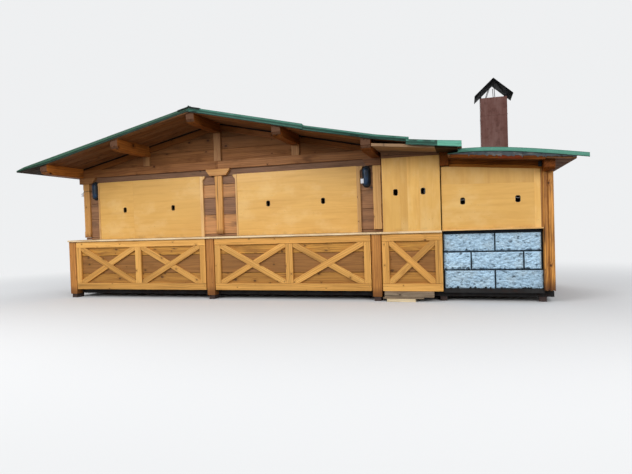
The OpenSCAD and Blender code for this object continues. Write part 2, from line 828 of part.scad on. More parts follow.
// The ridge cap, whose wings lie over the trims, with a roll along its top
module ridge_cap() {
    cap_sheet = 8;
    lip_t = 4;
    lip_h = 22;
    roll_d = 26;
    out = 2 * trim_t + lip_t;
    color([0.16, 0.22, 0.2]) {
        along_y(roof_y0 - out, roof_y1 + out)
            roof_band(ridge_x - cap_wing, ridge_x + cap_wing, trim_h, trim_h + cap_sheet);
        for (y = [roof_y0 - out, roof_y1 + 2 * trim_t])
            along_y(y, y + lip_t)
                roof_band(ridge_x - cap_wing, ridge_x + cap_wing, trim_h - lip_h, trim_h + cap_sheet);
        along_y(roof_y0 + fold_w, roof_y1 - fold_w)
            roof_band(ridge_x - cap_core, ridge_x + cap_core, sheet_z, trim_h + 1);
        along_y(roof_y0 - out, roof_y1 + out)
            translate([ridge_x, ridge_z + trim_h + cap_sheet]) circle(d = roll_d, $fn = 24);
    }
}

// The pale ceiling, whose right end runs into the underside of the roof boards
module bay_ceiling() {
    front_set = 30;
    top = ceiling_z(ceiling_x0) + ceiling_t;
    color([0.78, 0.62, 0.45])
        along_y(roof_y0 + front_set, back_y) intersection() {
            polygon([
                [ceiling_x0, ceiling_z(ceiling_x0)], [ceiling_x1, ceiling_z(ceiling_x1)],
                [ceiling_x1, ceiling_z(ceiling_x1) + ceiling_t], [ceiling_x0, top],
            ]);
            roof_band(ceiling_x0, ceiling_x1, -top, 0);
        }
}

// An upright panel from z0 to the pale ceiling
module ceiling_panel(x0, x1, z0) {
    polygon([[x0, z0], [x1, z0], [x1, ceiling_z(x1)], [x0, ceiling_z(x0)]]);
}

// The cheek between the wall and the narrow shutter, with the filler beside the wall post
// and the board over that shutter
module bay_cheek() {
    board_h = 90;
    color([0.5, 0.33, 0.22]) {
        along_y(shutter_t, wall_y + wall_post_w) ceiling_panel(cheek_x0, cheek_x0 + wall_t, counter_z);
        along_y(board_y, board_y + wall_t) difference() {
            ceiling_panel(wall_x1, cheek_x0, counter_z);
            translate([wall_x1, tie_z0 - fit])
                square([ceiling_x0 - wall_x1 - fit, purlin_h]);
        }
        along_y(shutter_t, shutter_t + wall_t)
            ceiling_panel(cheek_x0, beam_x - beam_w / 2, narrow_top - board_h);
    }
}

// The left wall, which reaches up to the roof boards behind the first purlin
module left_wall() {
    x = wall_x0 + wall_set;
    top = deck_z(x);
    color([0.52, 0.35, 0.23])
        along_x(x, x + wall_t) polygon([
            [post_w, floor_z], [back_y - wall_post_w, floor_z], [back_y - wall_post_w, top],
            [wall_y + wall_post_w, top], [wall_y + wall_post_w, counter_h], [post_w, counter_h],
        ]);
}

module right_wall() {
    x = hut_end - wall_set;
    color([0.52, 0.35, 0.23])
        block([x - wall_t, wall_post_w, floor_z],
            [x, back_y - wall_post_w, annex_z(annex_purlin_x) - annex_purlin_h]);
}

door_head = 222;
door_x = bay_x0 + 50;
door_w = bay_frame_w - 91;
door_h = tie_z0 - door_head - floor_z;

// The boarded back between the posts, with a doorway in its right part
module back_wall() {
    color([0.52, 0.35, 0.23]) {
        for (i = [0:1])
            along_y(back_board_y, back_board_y + wall_t) difference() {
                translate([wall_post_x[i] + wall_post_w, floor_z])
                    square([wall_post_x[i + 1] - wall_post_x[i] - wall_post_w, tie_z0 - floor_z]);
                capital_outline(wall_post_x[i] + wall_post_w / 2);
                capital_outline(wall_post_x[i + 1] + wall_post_w / 2);
            }
        along_y(back_board_y, back_board_y + wall_t) difference() {
            polygon([
                [wall_x1, floor_z], [right_post_x, floor_z], [right_post_x, annex_z(right_post_x)],
                [annex_x0, annex_z(annex_x0)], [annex_x0, beam_z0 - fit],
                [beam_x - beam_w / 2 - fit, beam_z0 - fit],
                [beam_x - beam_w / 2 - fit, ceiling_z(beam_x - beam_w / 2 - fit)],
                [ceiling_x0, ceiling_z(ceiling_x0)], [ceiling_x0, tie_z0 - fit], [wall_x1, tie_z0 - fit],
            ]);
            translate([door_x, floor_z - 1]) square([door_w, door_h + 1]);
        }
    }
}

// The boarded back door, which laps over the edges of its doorway
module back_door() {
    door_t = 30;
    lap = 20;
    color([0.62, 0.42, 0.26])
        block([door_x - lap, back_board_y + wall_t, floor_z],
            [door_x + door_w + lap, back_board_y + wall_t + door_t, floor_z + door_h + lap]);
}

// The two front posts of the annex
module annex_posts() {
    front_foot = stone_z0 - 20;
    edge = 14;
    split_x = right_post_x + 0.45 * right_post_w;
    inner_w = 100;
    color([0.76, 0.5, 0.26]) {
        difference() {
            block([right_post_x, 0, front_foot],
                [hut_end, wall_post_w, annex_z(annex_purlin_x) - annex_purlin_h]);
            for (x = [right_post_x, split_x, hut_end])
                translate([x, 0, 0]) rotate([0, 0, 45]) cube([edge, edge, 2 * annex_z0], center = true);
        }
        block([beam_x - inner_w / 2, post_w, floor_z], [beam_x + inner_w / 2, post_w + inner_w, beam_z0]);
    }
}

module stone_front() {
    side_gap = 8;
    color([0.68, 0.73, 0.78])
        block([grill_x0 + side_gap, stone_y0, stone_z0], [right_post_x - side_gap, stone_y0 + stone_t, stone_z1]);
}

// The header over the grill shutter, the sill under it and the lining beside it
module annex_header() {
    sill_out = 10;
    color([0.55, 0.33, 0.18]) {
        along_y(grill_y, wall_post_w) annex_band(annex_x0, right_post_x, -header_h, 0);
        block([grill_x0, -sill_out, grill_sill_z - grill_sill_t], [right_post_x, wall_post_w, grill_sill_z]);
        along_y(grill_y, grill_y + shutter_t) polygon([
            [grill_x1 + fit, grill_sill_z], [right_post_x, grill_sill_z],
            [right_post_x, annex_z(right_post_x) - header_h], [grill_x1 + fit, annex_z(grill_x1) - header_h],
        ]);
    }
}

// The two beams that carry the annex roof from front to back
module annex_purlins() {
    annex_nose_y = -180;
    beam_out = 40;
    color([0.7, 0.44, 0.22]) {
        intersection() {
            translate([0, 0, annex_z(annex_purlin_x)])
                along_x(right_post_x, hut_end) union() {
                    purlin_outline(annex_nose_y, roof_y1 - nose_set, annex_purlin_h);
                    translate([annex_nose_y, -1])
                        square([roof_y1 - nose_set - annex_nose_y, annex_purlin_h]);
                }
            along_y(roof_y0, roof_y1)
                annex_band(right_post_x - 1, hut_end + 1, -2 * annex_purlin_h, 0);
        }
        along_y(-beam_out, back_y + beam_out)
            ceiling_panel(beam_x - beam_w / 2, beam_x + beam_w / 2, beam_z0);
    }
}

// The hole in the annex roof that the flue stands in
module flue_hole(gap) {
    block([flue_x0 - gap, flue_y - gap, 0], [flue_x0 + flue_w + gap, flue_y + flue_w + gap, flue_top]);
}

// The annex roof boards with the old felt that bulges on them
module annex_deck() {
    color([0.5, 0.33, 0.2])
        difference() {
            along_y(-annex_front, roof_y1) intersection() {
                bowed_band(annex_x0, annex_board_x1, -2 * felt_h - annex_deck_t, 0);
                annex_band(annex_x0, annex_board_x1, 0, annex_deck_t + 2 * felt_h);
            }
            flue_hole(fit);
        }
}

module annex_sheet() {
    verge_low = -6;
    verge_high = 50;
    fold = 40;
    verge_x0 = ceiling_x1 + 5;
    color([0.3, 0.58, 0.42])
        difference() {
            union() {
                along_y(-annex_front, roof_y1) bowed_band(annex_x0, annex_board_x1, 0, sheet_t);
                along_y(-annex_front - trim_t, -annex_front)
                    bowed_band(verge_x0, annex_x1, verge_low, verge_high);
                along_y(-annex_front, -annex_front + fold)
                    bowed_band(verge_x0, annex_board_x1, sheet_t, verge_high);
                along_y(roof_y1 - fold, roof_y1)
                    bowed_band(verge_x0, annex_board_x1, sheet_t, verge_high);
                along_y(roof_y1, roof_y1 + trim_t) bowed_band(verge_x0, annex_x1, verge_low, verge_high);
            }
            flue_hole(fit);
        }
}

module flue() {
    seam_z = flue_top - 290;
    seam_h = 12;
    seam_out = 3;
    foot = annex_z(flue_x0) - 80;
    collar = 60;
    collar_t = 6;
    color([0.45, 0.27, 0.24])
        difference() {
            union() {
                block([flue_x0, flue_y, foot], [flue_x0 + flue_w, flue_y + flue_w, flue_top]);
                block([flue_x0 - seam_out, flue_y - seam_out, seam_z],
                    [flue_x0 + flue_w + seam_out, flue_y + flue_w + seam_out, seam_z + seam_h]);
                along_y(flue_y - collar, flue_y + flue_w + collar)
                    bowed_band(flue_x0 - collar, flue_x0 + flue_w + collar, sheet_t, sheet_t + collar_t);
            }
            block([flue_x0 + flue_t, flue_y + flue_t, foot - 1],
                [flue_x0 + flue_w - flue_t, flue_y + flue_w - flue_t, flue_top + 1]);
        }
}

// The folded cap on four short legs
module flue_cap() {
    x = flue_x0 + flue_w / 2;
    y = flue_y + flue_w / 2;
    eave = flue_top + 20;
    fold_t = cap_t * norm([cap_w / 2, cap_h]) / (cap_w / 2);
    leg = 18;
    leg_out = (flue_w - leg) / 2;
    color([0.08, 0.08, 0.09]) {
        along_y(y - cap_len / 2, y + cap_len / 2) polygon([
            [x - cap_w / 2, eave], [x, eave + cap_h], [x + cap_w / 2, eave],
            [x + cap_w / 2, eave + fold_t], [x, eave + cap_h + fold_t], [x - cap_w / 2, eave + fold_t],
        ]);
        for (sx = [-1, 1], sy = [-1, 1])
            intersection() {
                translate([x + sx * leg_out, y + sy * leg_out, flue_top + cap_h / 2])
                    cube([leg, leg, cap_h], center = true);
                along_y(0, roof_y1) polygon([
                    [x - cap_w / 2, flue_top], [x + cap_w / 2, flue_top], [x + cap_w / 2, eave + 1],
                    [x, eave + cap_h + 1], [x - cap_w / 2, eave + 1],
                ]);
            }
    }
}

translate(-mid) {
    base_frame();
    feet();
    packing_boards();
    floor_boards();  // floor
    counter_posts();
    counter_frame_left();
    counter_frame_middle();
    counter_frame_right();
    counter_boards();
    counter_top();
    front_posts();
    back_posts();
    tie_beams();
    gable_struts();
    gable_rafters();
    gable_boards();
    front_wall();
    window_jambs();
    shutter_left();
    shutter_middle();
    shutter_narrow();
    shutter_grill();
    wall_lamps();
    ridge_purlin();
    side_purlins();
    roof_deck_left();
    roof_deck_right();
    roof_sheet_left();
    roof_sheet_right();
    verge_trims();
    ridge_cap();
    bay_ceiling();
    bay_cheek();
    left_wall();
    right_wall();
    back_wall();
    back_door();
    annex_posts();
    stone_front();
    annex_header();
    annex_purlins();
    annex_deck();
    annex_sheet();
    flue();
    flue_cap();
}
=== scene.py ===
"""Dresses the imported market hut: boards, timbers, stones, sheets and their finishes.

All places are in metres in the hut's own frame, as in the part's source: X along the counter
from its left end, Y into the hut from the counter's front, Z up from the ground. A piece is
moved to the shared frame when it is finished.
"""

import logging
import math
import random
from bisect import bisect
from dataclasses import dataclass, field, replace
from enum import Enum
from functools import cache, partial, reduce
from itertools import cycle
from typing import Callable, Iterable, Optional, Sequence, Union

import bmesh
import bpy
from mathutils import Matrix, Vector, noise


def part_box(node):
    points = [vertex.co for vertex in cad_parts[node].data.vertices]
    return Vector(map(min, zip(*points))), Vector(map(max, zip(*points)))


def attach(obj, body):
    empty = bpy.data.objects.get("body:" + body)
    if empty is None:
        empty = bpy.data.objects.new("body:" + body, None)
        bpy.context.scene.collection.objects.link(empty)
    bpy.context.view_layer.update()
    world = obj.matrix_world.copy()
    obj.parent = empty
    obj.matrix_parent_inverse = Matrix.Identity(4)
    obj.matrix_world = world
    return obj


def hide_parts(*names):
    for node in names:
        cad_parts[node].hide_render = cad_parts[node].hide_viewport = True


BMesh = bmesh.types.BMesh
Socket = bpy.types.NodeSocket
Value = Union[Socket, float, Sequence[float]]
Rgb = tuple[float, float, float]
Choice = Callable[[bmesh.types.BMFace], int]
Height = Callable[[float], float]
Look = tuple[Optional[float], Optional[float]]

LOG = logging.getLogger("hut")
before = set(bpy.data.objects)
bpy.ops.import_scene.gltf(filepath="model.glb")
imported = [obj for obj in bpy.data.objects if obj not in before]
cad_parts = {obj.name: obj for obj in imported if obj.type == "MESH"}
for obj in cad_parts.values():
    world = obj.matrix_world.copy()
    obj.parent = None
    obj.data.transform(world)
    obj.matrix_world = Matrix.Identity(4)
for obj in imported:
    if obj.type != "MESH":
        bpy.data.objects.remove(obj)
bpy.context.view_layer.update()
ROOF_MIDDLE = 1.19
# The shared frame's origin, seen from the hut's own
MID = Vector((3.9105, ROOF_MIDDLE, 0.0))
# How near points count as on a plane, and as one
ON_PLANE = 0.00001
MERGED = 0.00002
# The attributes that a body carries beside its grain
LAYERS = ("tint", "tone", "edge")
# How far apart the grain of two bodies is read at most
GRAIN_REACH = (40, 9, 9)
# The colour sockets of a Mix node
MIX_SHARE, MIX_FIRST, MIX_SECOND, MIX_RESULT = 0, 6, 7, 2


class Axis(Enum):
    """The way a board's grain runs."""

    X = 0
    Y = 1
    Z = 2

    def order(self, lying: bool) -> tuple[int, int, int]:
        """Finds the axes along, across and into a board.

        Args:
            lying: Whether the board lies flat.

        Returns:
            Their numbers.
        """
        if self is Axis.Z:
            return 2, 0, 1
        other = 1 - self.value
        return (self.value, other, 2) if lying else (self.value, 2, other)

    def unit(self) -> Vector:
        """Returns the axis's own direction."""
        return Vector([float(number == self.value) for number in range(3)])


Slice = tuple[float, float, Axis, float, float]


# Building of materials


class Graph:
    """Builds the nodes of one material, one short call a node."""

    def __init__(self, name: str) -> None:
        """Starts a material with a Principled shader.

        Args:
            name: The material's name.
        """
        self.material = bpy.data.materials.new(name)
        self.material.use_nodes = True
        self.nodes = self.material.node_tree.nodes
        self.links = self.material.node_tree.links
        self.shader = self.nodes["Principled BSDF"]

    def put(self, socket: Socket, value: Value) -> None:
        """Sets a socket or links it.

        Args:
            socket: The input to feed.
            value: A number, a colour, a vector or another node's output.
        """
        if isinstance(value, bpy.types.NodeSocket):
            self.links.new(value, socket)
        elif hasattr(value, "__len__") and socket.type == "RGBA" and len(value) == 3:
            socket.default_value = (*value, 1.0)
        else:
            socket.default_value = value

    def node(
        self, kind: str, feeds: Optional[dict[Union[str, int], Value]] = None, **settings: object
    ) -> bpy.types.Node:
        """Adds a node.

        Args:
            kind: The node's type name without its ShaderNode prefix.
            feeds: What goes into its inputs.
            settings: Properties to set on it.

        Returns:
            The node.
        """
        made = self.nodes.new("ShaderNode" + kind)
        for key, value in settings.items():
            setattr(made, key, value)
        for key, value in (feeds or {}).items():
            self.put(made.inputs[key], value)
        return made

    def attribute(self, name: str, output: str = "Vector") -> Socket:
        """Returns an output of a mesh attribute."""
        return self.node("Attribute", attribute_name=name).outputs[output]

    def place(self) -> Socket:
        """Returns the point on the object, in metres."""
        return self.node("TexCoord").outputs["Object"]

    def axis(self, vector: Socket, name: str) -> Socket:
        """Returns the X, Y or Z of a vector."""
        return self.node("SeparateXYZ", {0: vector}).outputs[name]

    def stretch(
        self, vector: Socket, scale: Sequence[float], shift: Sequence[float] = (0, 0, 0)
    ) -> Socket:
        """Returns a vector scaled by a factor for each axis, with a shift added."""
        feeds = {"Vector": vector, "Scale": scale, "Location": shift}
        return self.node("Mapping", feeds).outputs[0]

    def vector(
        self, operation: str, first: Value, second: Value = (0, 0, 0), output: str = "Vector"
    ) -> Socket:
        """Returns the result of an operation on two vectors, a Vector or a Value."""
        return self.node("VectorMath", {0: first, 1: second}, operation=operation).outputs[output]

    def noise(
        self, vector: Socket, scale: float, detail: float = 4.0, roughness: float = 0.55,
        distortion: float = 0.0,
    ) -> Socket:
        """Returns a noise, with how many finer layers it has, their strength and its bend."""
        feeds = {
            "Vector": vector, "Scale": scale, "Detail": detail, "Roughness": roughness,
            "Distortion": distortion,
        }
        return self.node("TexNoise", feeds).outputs["Fac"]

    def cells(self, vector: Socket, scale: float) -> bpy.types.Node:
        """Returns the node of a pattern of cells."""
        return self.node("TexVoronoi", {"Vector": vector, "Scale": scale})

    def ramp(self, value: Value, low: float, high: float, out: Sequence[float] = (0.0, 1.0)) -> Socket:
        """Maps a value smoothly and holds it at both ends.

        Args:
            value: The value to map.
            low: Where the result is the first of out.
            high: Where it is the second.
            out: The two results.

        Returns:
            The mapped value.
        """
        keys = ("Value", "From Min", "From Max", "To Min", "To Max")
        feeds = dict(zip(keys, (value, low, high, *out)))
        return self.node("MapRange", feeds, interpolation_type="SMOOTHSTEP").outputs[0]

    def maths(self, operation: str, first: Value, second: Value = 0.0) -> Socket:
        """Returns the result of an operation on two values."""
        return self.node("Math", {0: first, 1: second}, operation=operation).outputs[0]

    def product(self, *values: Value) -> Socket:
        """Returns the product of two or more values."""
        return reduce(partial(self.maths, "MULTIPLY"), values)

    def total(self, *shares: tuple[Socket, float]) -> Socket:
        """Adds values.

        Args:
            shares: Each value and what it is multiplied by.

        Returns:
            Their sum.
        """
        result = self.maths("MULTIPLY", *shares[0])
        for value, share in shares[1:]:
            result = self.maths("ADD", result, self.maths("MULTIPLY", value, share))
        return result

    def mix(self, share: Value, first: Value, second: Value) -> Socket:
        """Returns the mix of two colours, with a share of the second."""
        feeds = {MIX_SHARE: share, MIX_FIRST: first, MIX_SECOND: second}
        return self.node("Mix", feeds, data_type="RGBA").outputs[MIX_RESULT]

    def lighten(self, colour: Socket, tint: Socket, low: float, high: float) -> Socket:
        """Makes a colour darker or lighter with a tint from 0 to 1.

        Args:
            colour: The colour.
            tint: The tint.
            low: The factor at 0.
            high: The factor at 1.

        Returns:
            The changed colour.
        """
        made = self.node("HueSaturation", {"Color": colour})
        factor = self.maths("ADD", self.maths("MULTIPLY", tint, high - low), low)
        self.put(made.inputs["Value"], factor)
        return made.outputs[0]

    def relief(self, height: Socket, strength: float, depth: float) -> None:
        """Gives the shader a bump, from a height of 0 to 1 and its real depth in metres."""
        bump = self.node("Bump", {"Height": height, "Strength": strength, "Distance": depth})
        self.put(self.shader.inputs["Normal"], bump.outputs[0])

    def finish(
        self, colour: Value, roughness: Value, coat: float = 0.0, specular: float = 0.5
    ) -> bpy.types.Material:
        """Feeds the shader.

        Args:
            colour: The base colour.
            roughness: The roughness.
            coat: The weight of a clear coat.
            specular: How strongly it mirrors.

        Returns:
            The material.
        """
        for key, value in (
            ("Base Color", colour), ("Roughness", roughness), ("Coat Weight", coat),
            ("Specular IOR Level", specular),
        ):
            self.put(self.shader.inputs[key], value)
        return self.material


def shade(colour: Rgb, share: float) -> Rgb:
    """Returns a colour times a share."""
    return tuple(share * part for part in colour)


# Finishes


@dataclass(frozen=True)
class Timber:
    """Glazed or weathered timber with grain that bends round its knots, stains and splits."""

    name: str
    light: Rgb
    dark: Rgb
    stain: Rgb
    other: Optional[Rgb] = None
    stain_share: float = 0.2
    knots: float = 0.011
    knot_share: float = 0.3
    spread: float = 0.16
    splits: float = 0.0
    foot: tuple[float, float] = (0.0, 0.0)
    roughness: float = 0.52
    relief: float = 0.35
    shine: float = 0.28

    def knot_fields(self, g: Graph, grain: Socket) -> tuple[Socket, Socket]:
        """Scatters knots over the board.

        Args:
            g: The material's graph.
            grain: The place on the board: along, across and into it.

        Returns:
            The knots' cores and the wood round them, from 0 to 1.
        """
        cells = (2.6, 9.0, 0.4)
        spot = g.stretch(grain, cells)
        cell = g.cells(spot, 1.0)
        away = g.vector("SUBTRACT", spot, cell.outputs["Position"])
        away = g.vector("MULTIPLY", away, (0.72 / cells[0], 1.0 / cells[1], 0.0))
        far = g.vector("LENGTH", away, output="Value")
        lot, size = (g.axis(cell.outputs["Color"], name) for name in ("X", "Y"))
        radius = g.ramp(size, 0.0, 1.0, (0.3 * self.knots, 1.35 * self.knots))
        ratio = g.maths("DIVIDE", far, radius)
        kept = g.maths("LESS_THAN", lot, self.knot_share)
        core = g.product(g.ramp(ratio, 0.65, 1.15, (1.0, 0.0)), kept)
        return core, g.product(g.ramp(ratio, 0.9, 3.4, (1.0, 0.0)), kept)

    def material(self) -> bpy.types.Material:
        """Makes the finish's material.

        Returns:
            The material.
        """
        g = Graph(self.name)
        grain = g.attribute("grain")
        tint, tone = g.attribute("tint", "Fac"), g.attribute("tone", "Fac")
        core, halo = self.knot_fields(g, grain)
        warp = g.noise(g.stretch(grain, (0.75, 5.5, 5.5)), 1.0, 3, 0.5, 0.4)
        phase = g.total((g.axis(grain, "Y"), 260.0), (warp, 30.0), (halo, 4.5))
        rings = g.ramp(g.maths("SINE", phase), -0.3, 1.0)
        streak = g.noise(g.stretch(grain, (0.9, 19, 19)), 1.0, 4, 0.62, 0.2)
        fibre = g.noise(g.stretch(grain, (4, 110, 110)), 1.0, 5, 0.65)
        figure = g.total((rings, 0.3), (g.ramp(streak, 0.3, 0.7), 0.42), (fibre, 0.34))
        light, dark = self.light, self.dark
        if self.other:
            light = g.mix(tone, self.light, self.other)
            dark = g.mix(tone, self.dark, shade(self.other, 0.6))
        colour = g.mix(g.ramp(figure, 0.12, 0.88), light, dark)
        cloud = g.noise(g.stretch(grain, (1.3, 4.5, 4.5)), 1.5, 5, 0.62)
        patch = g.ramp(cloud, 0.72 - self.stain_share, 0.84 - 0.4 * self.stain_share, (0.0, 0.7))
        colour = g.mix(patch, colour, self.stain)
        colour = g.mix(g.product(halo, 0.45), colour, shade(self.dark, 0.8))
        colour = g.mix(g.product(core, 0.85), colour, shade(self.stain, 0.5))
        height = g.total((fibre, 0.6), (rings, 0.25), (core, -0.4))
        if self.splits:
            narrow = g.ramp(g.noise(g.stretch(grain, (0.5, 30, 30)), 1.0, 2, 0.5, 0.3), 0.64, 0.67)
            where = g.ramp(g.noise(g.stretch(grain, (0.9, 3, 3)), 1.2, 2), 0.44, 0.6)
            split = g.product(narrow, where, self.splits)
            colour = g.mix(split, colour, shade(self.dark, 0.12))
            height = g.maths("SUBTRACT", height, split)
        if self.foot[1]:
            rise = g.maths("ADD", g.axis(g.place(), "Z"), g.maths("MULTIPLY", streak, -0.08))
            soaked = g.ramp(rise, *self.foot, (0.85, 0.0))
            colour = g.mix(soaked, colour, shade(self.stain, 0.7))
        colour = g.lighten(colour, tint, 1 - self.spread, 1 + self.spread)
        g.relief(height, self.relief, 0.0025)
        gloss = g.ramp(cloud, 0.3, 0.75, (self.roughness - 0.08, self.roughness + 0.14))
        return g.finish(colour, gloss, specular=self.shine)


@dataclass(frozen=True)
class EndGrain:
    """Weathered end of a beam, with rings and drying splits."""

    name: str
    light: Rgb
    dark: Rgb

    def material(self) -> bpy.types.Material:
        """Makes the finish's material.

        Returns:
            The material.
        """
        g = Graph(self.name)
        face = g.stretch(g.attribute("grain"), (0.0, 1.0, 1.0))
        bend = g.noise(face, 9.0, 3)
        arc = g.vector("LENGTH", g.stretch(face, (1.0, 1.0, 1.0), (0.0, 0.03, 0.06)), output="Value")
        rings = g.ramp(g.maths("SINE", g.total((arc, 900.0), (bend, 9.0))), -0.6, 1.0)
        grit = g.noise(face, 70.0, 5, 0.7)
        splits = g.ramp(g.noise(g.stretch(face, (1, 75, 7)), 1.0, 3, 0.5, 0.6), 0.6, 0.68)
        colour = g.mix(g.total((rings, 0.45), (grit, 0.6)), self.light, self.dark)
        colour = g.mix(g.product(splits, 0.85), colour, shade(self.dark, 0.2))
        g.relief(g.total((grit, 0.5), (splits, -0.9)), 0.4, 0.003)
        return g.finish(colour, 0.75, specular=0.1)


@dataclass(frozen=True)
class LayerBoard:
    """Three layer board under a satin yellow glaze, with long soft figure and scuffs."""

    name: str
    light: Rgb
    dark: Rgb
    scuff: Rgb

    def material(self) -> bpy.types.Material:
        """Makes the finish's material.

        Returns:
            The material.
        """
        g = Graph(self.name)
        grain = g.attribute("grain")
        tint, tone = g.attribute("tint", "Fac"), g.attribute("tone", "Fac")
        flame = g.noise(g.stretch(grain, (0.8, 6.5, 6.5)), 1.7, 6, 0.6, 1.0)
        lines = g.noise(g.stretch(grain, (0.5, 26, 26)), 1.0, 4, 0.6, 0.4)
        fibre = g.noise(g.stretch(grain, (4, 130, 130)), 1.0, 5, 0.6)
        cloud = g.noise(g.stretch(grain, (1.1, 1.6, 1.6)), 1.4, 4, 0.6)
        figure = g.total(
            (g.ramp(flame, 0.36, 0.74), 0.5), (g.ramp(lines, 0.4, 0.75), 0.35), (fibre, 0.2)
        )
        colour = g.mix(g.product(figure, 0.72), self.light, self.dark)
        colour = g.mix(g.product(g.ramp(cloud, 0.48, 0.7), 0.5), colour, self.scuff)
        colour = g.mix(g.product(tone, 0.85), colour, shade(self.dark, 0.95))
        specks = g.cells(g.stretch(grain, (14, 22, 1)), 1.0).outputs["Distance"]
        speck = g.product(g.ramp(specks, 0.05, 0.1, (1.0, 0.0)), g.ramp(cloud, 0.5, 0.6))
        colour = g.mix(g.product(speck, 0.6), colour, shade(self.dark, 0.4))
        edge = g.attribute("edge", "Fac")
        splashed = g.ramp(edge, 0.25, 1.0, (0.0, 0.42))
        grime = g.product(splashed, g.ramp(g.noise(grain, 7.0, 6, 0.7), 0.42, 0.72))
        colour = g.mix(grime, colour, shade(self.dark, 0.4))
        colour = g.lighten(colour, tint, 0.86, 1.14)
        g.relief(g.total((fibre, 0.6), (lines, 0.4)), 0.14, 0.0012)
        return g.finish(colour, g.ramp(cloud, 0.3, 0.7, (0.34, 0.5)), coat=0.08, specular=0.35)


@dataclass(frozen=True)
class PaintedSheet:
    """Painted steel sheet with chalked, scratched and dirty places."""

    name: str
    paint: Rgb
    chalk: Rgb
    dirt: Rgb
    chalk_share: float = 0.35
    dirt_share: float = 0.35
    roughness: float = 0.5
    streak: tuple[float, float, float] = (1.0, 1.0, 1.0)
    shine: float = 0.4

    def material(self) -> bpy.types.Material:
        """Makes the finish's material.

        Returns:
            The material.
        """
        g = Graph(self.name)
        here = g.place()
        run = g.stretch(here, self.streak)
        cloud = g.noise(run, 2.3, 6, 0.62, 0.4)
        fine = g.noise(run, 26.0, 6, 0.7)
        spots = g.noise(here, 9.0, 5, 0.7)
        mottled = g.product(g.ramp(cloud, 0.62 - 0.3 * self.chalk_share, 0.8), 0.8)
        colour = g.mix(mottled, self.paint, self.chalk)
        scratch = g.product(g.ramp(fine, 0.6, 0.74), g.ramp(spots, 0.45, 0.62), self.chalk_share)
        colour = g.mix(scratch, colour, self.chalk)
        grime = g.product(g.ramp(spots, 0.66 - 0.3 * self.dirt_share, 0.78), 0.85)
        colour = g.mix(grime, colour, self.dirt)
        g.relief(g.total((fine, 0.4), (spots, 1.0)), 0.2, 0.002)
        low, high = self.roughness - 0.08, self.roughness + 0.2
        return g.finish(colour, g.ramp(spots, 0.3, 0.7, (low, high)), specular=self.shine)


@dataclass(frozen=True)
class FoldedTrim:
    """Green folded edge sheet: chalky and painted as lit above its crease, painted as shaded below it, and
    painted black under its lip.
    """

    name: str
    # The lower colour is painted shade below the crease, and the hem colour is a near-black painted shadow
    # under the lip
    upper: Rgb
    lower: Rgb
    shadow_under_hem: Rgb
    mottle: Rgb
    crease: float = 0.72

    def material(self) -> bpy.types.Material:
        """Makes the finish's material.

        Returns:
            The material.
        """
        g = Graph(self.name)
        here = g.place()
        edge = g.attribute("edge", "Fac")
        tint, tone = g.attribute("tint", "Fac"), g.attribute("tone", "Fac")
        long = g.noise(g.stretch(here, (2.2, 2.2, 22)), 1.6, 6, 0.65, 0.3)
        fine = g.noise(here, 34.0, 6, 0.72)
        spots = g.noise(here, 12.0, 5, 0.7)
        height = g.maths("ADD", edge, g.maths("MULTIPLY", g.maths("SUBTRACT", long, 0.5), 0.16))
        # Painted light and shade: lighter above the crease, darker below it
        crest = g.ramp(height, self.crease - 0.12, self.crease + 0.08)
        colour = g.mix(crest, self.lower, self.upper)
        lip = g.product(g.ramp(height, 0.12, 0.2), g.ramp(height, 0.26, 0.38, (0.6, 0.0)))
        colour = g.mix(lip, colour, shade(self.upper, 0.75))
        # Painted shadow: near black along the bottom, for the gap under the trim
        colour = g.mix(g.ramp(height, 0.08, 0.17, (0.95, 0.0)), colour, self.shadow_under_hem)
        bleached = g.product(g.ramp(long, 0.48, 0.72), crest, 0.35)
        colour = g.mix(bleached, colour, shade(self.upper, 1.35))
        worn = g.product(tone, g.ramp(spots, 0.36, 0.6))
        colour = g.mix(worn, colour, self.mottle)
        scratch = g.product(g.ramp(fine, 0.6, 0.72), g.ramp(long, 0.45, 0.65), crest, 0.4)
        colour = g.mix(scratch, colour, (0.42, 0.47, 0.42))
        colour = g.lighten(colour, tint, 0.5, 1.9)
        g.relief(g.total((fine, 0.4), (spots, 1.0)), 0.22, 0.002)
        return g.finish(colour, g.ramp(spots, 0.3, 0.7, (0.4, 0.62)), specular=0.12)


@dataclass(frozen=True)
class Stone:
    """Rock-faced stone with speckles and veins, with painted shade in its hollows, along its outline and
    under its chips.
    """

    name: str
    light: Rgb
    dark: Rgb
    speck: Rgb

    def material(self) -> bpy.types.Material:
        """Makes the finish's material.

        Returns:
            The material.
        """
        g = Graph(self.name)
        here = g.place()
        tint = g.attribute("tint", "Fac")
        painted_hollow_shade = g.attribute("edge", "Fac")
        turned = g.vector("MULTIPLY", here, (1.0, 1.0, 1.7))
        cloud = g.noise(turned, 17.0, 9, 0.74, 0.8)
        vein = g.ramp(g.noise(g.stretch(here, (9, 1, 26)), 1.6, 5, 0.7, 1.6), 0.5, 0.6)
        grit = g.noise(here, 110.0, 8, 0.8)
        chips = g.cells(g.stretch(here, (34, 34, 62)), 1.0).outputs["Distance"]
        colour = g.mix(g.product(g.ramp(cloud, 0.4, 0.6), 0.95), self.light, self.dark)
        warm = g.product(g.ramp(g.noise(here, 4.2, 3), 0.5, 0.68), 0.24)
        colour = g.mix(warm, colour, (0.5, 0.52, 0.46))
        colour = g.mix(g.product(vein, 0.45), colour, shade(self.light, 1.2))
        # Painted shade: darker where the edge attribute is high
        colour = g.mix(g.product(g.ramp(painted_hollow_shade, 0.7, 1.0), 0.9), colour, shade(self.dark, 0.25))
        colour = g.mix(g.ramp(grit, 0.56, 0.7, (0.0, 0.7)), colour, self.speck)
        colour = g.lighten(colour, tint, 0.88, 1.08)
        g.relief(g.total((cloud, 0.8), (grit, 0.45), (chips, 0.2)), 1.0, 0.01)
        return g.finish(colour, 0.85, specular=0.3)


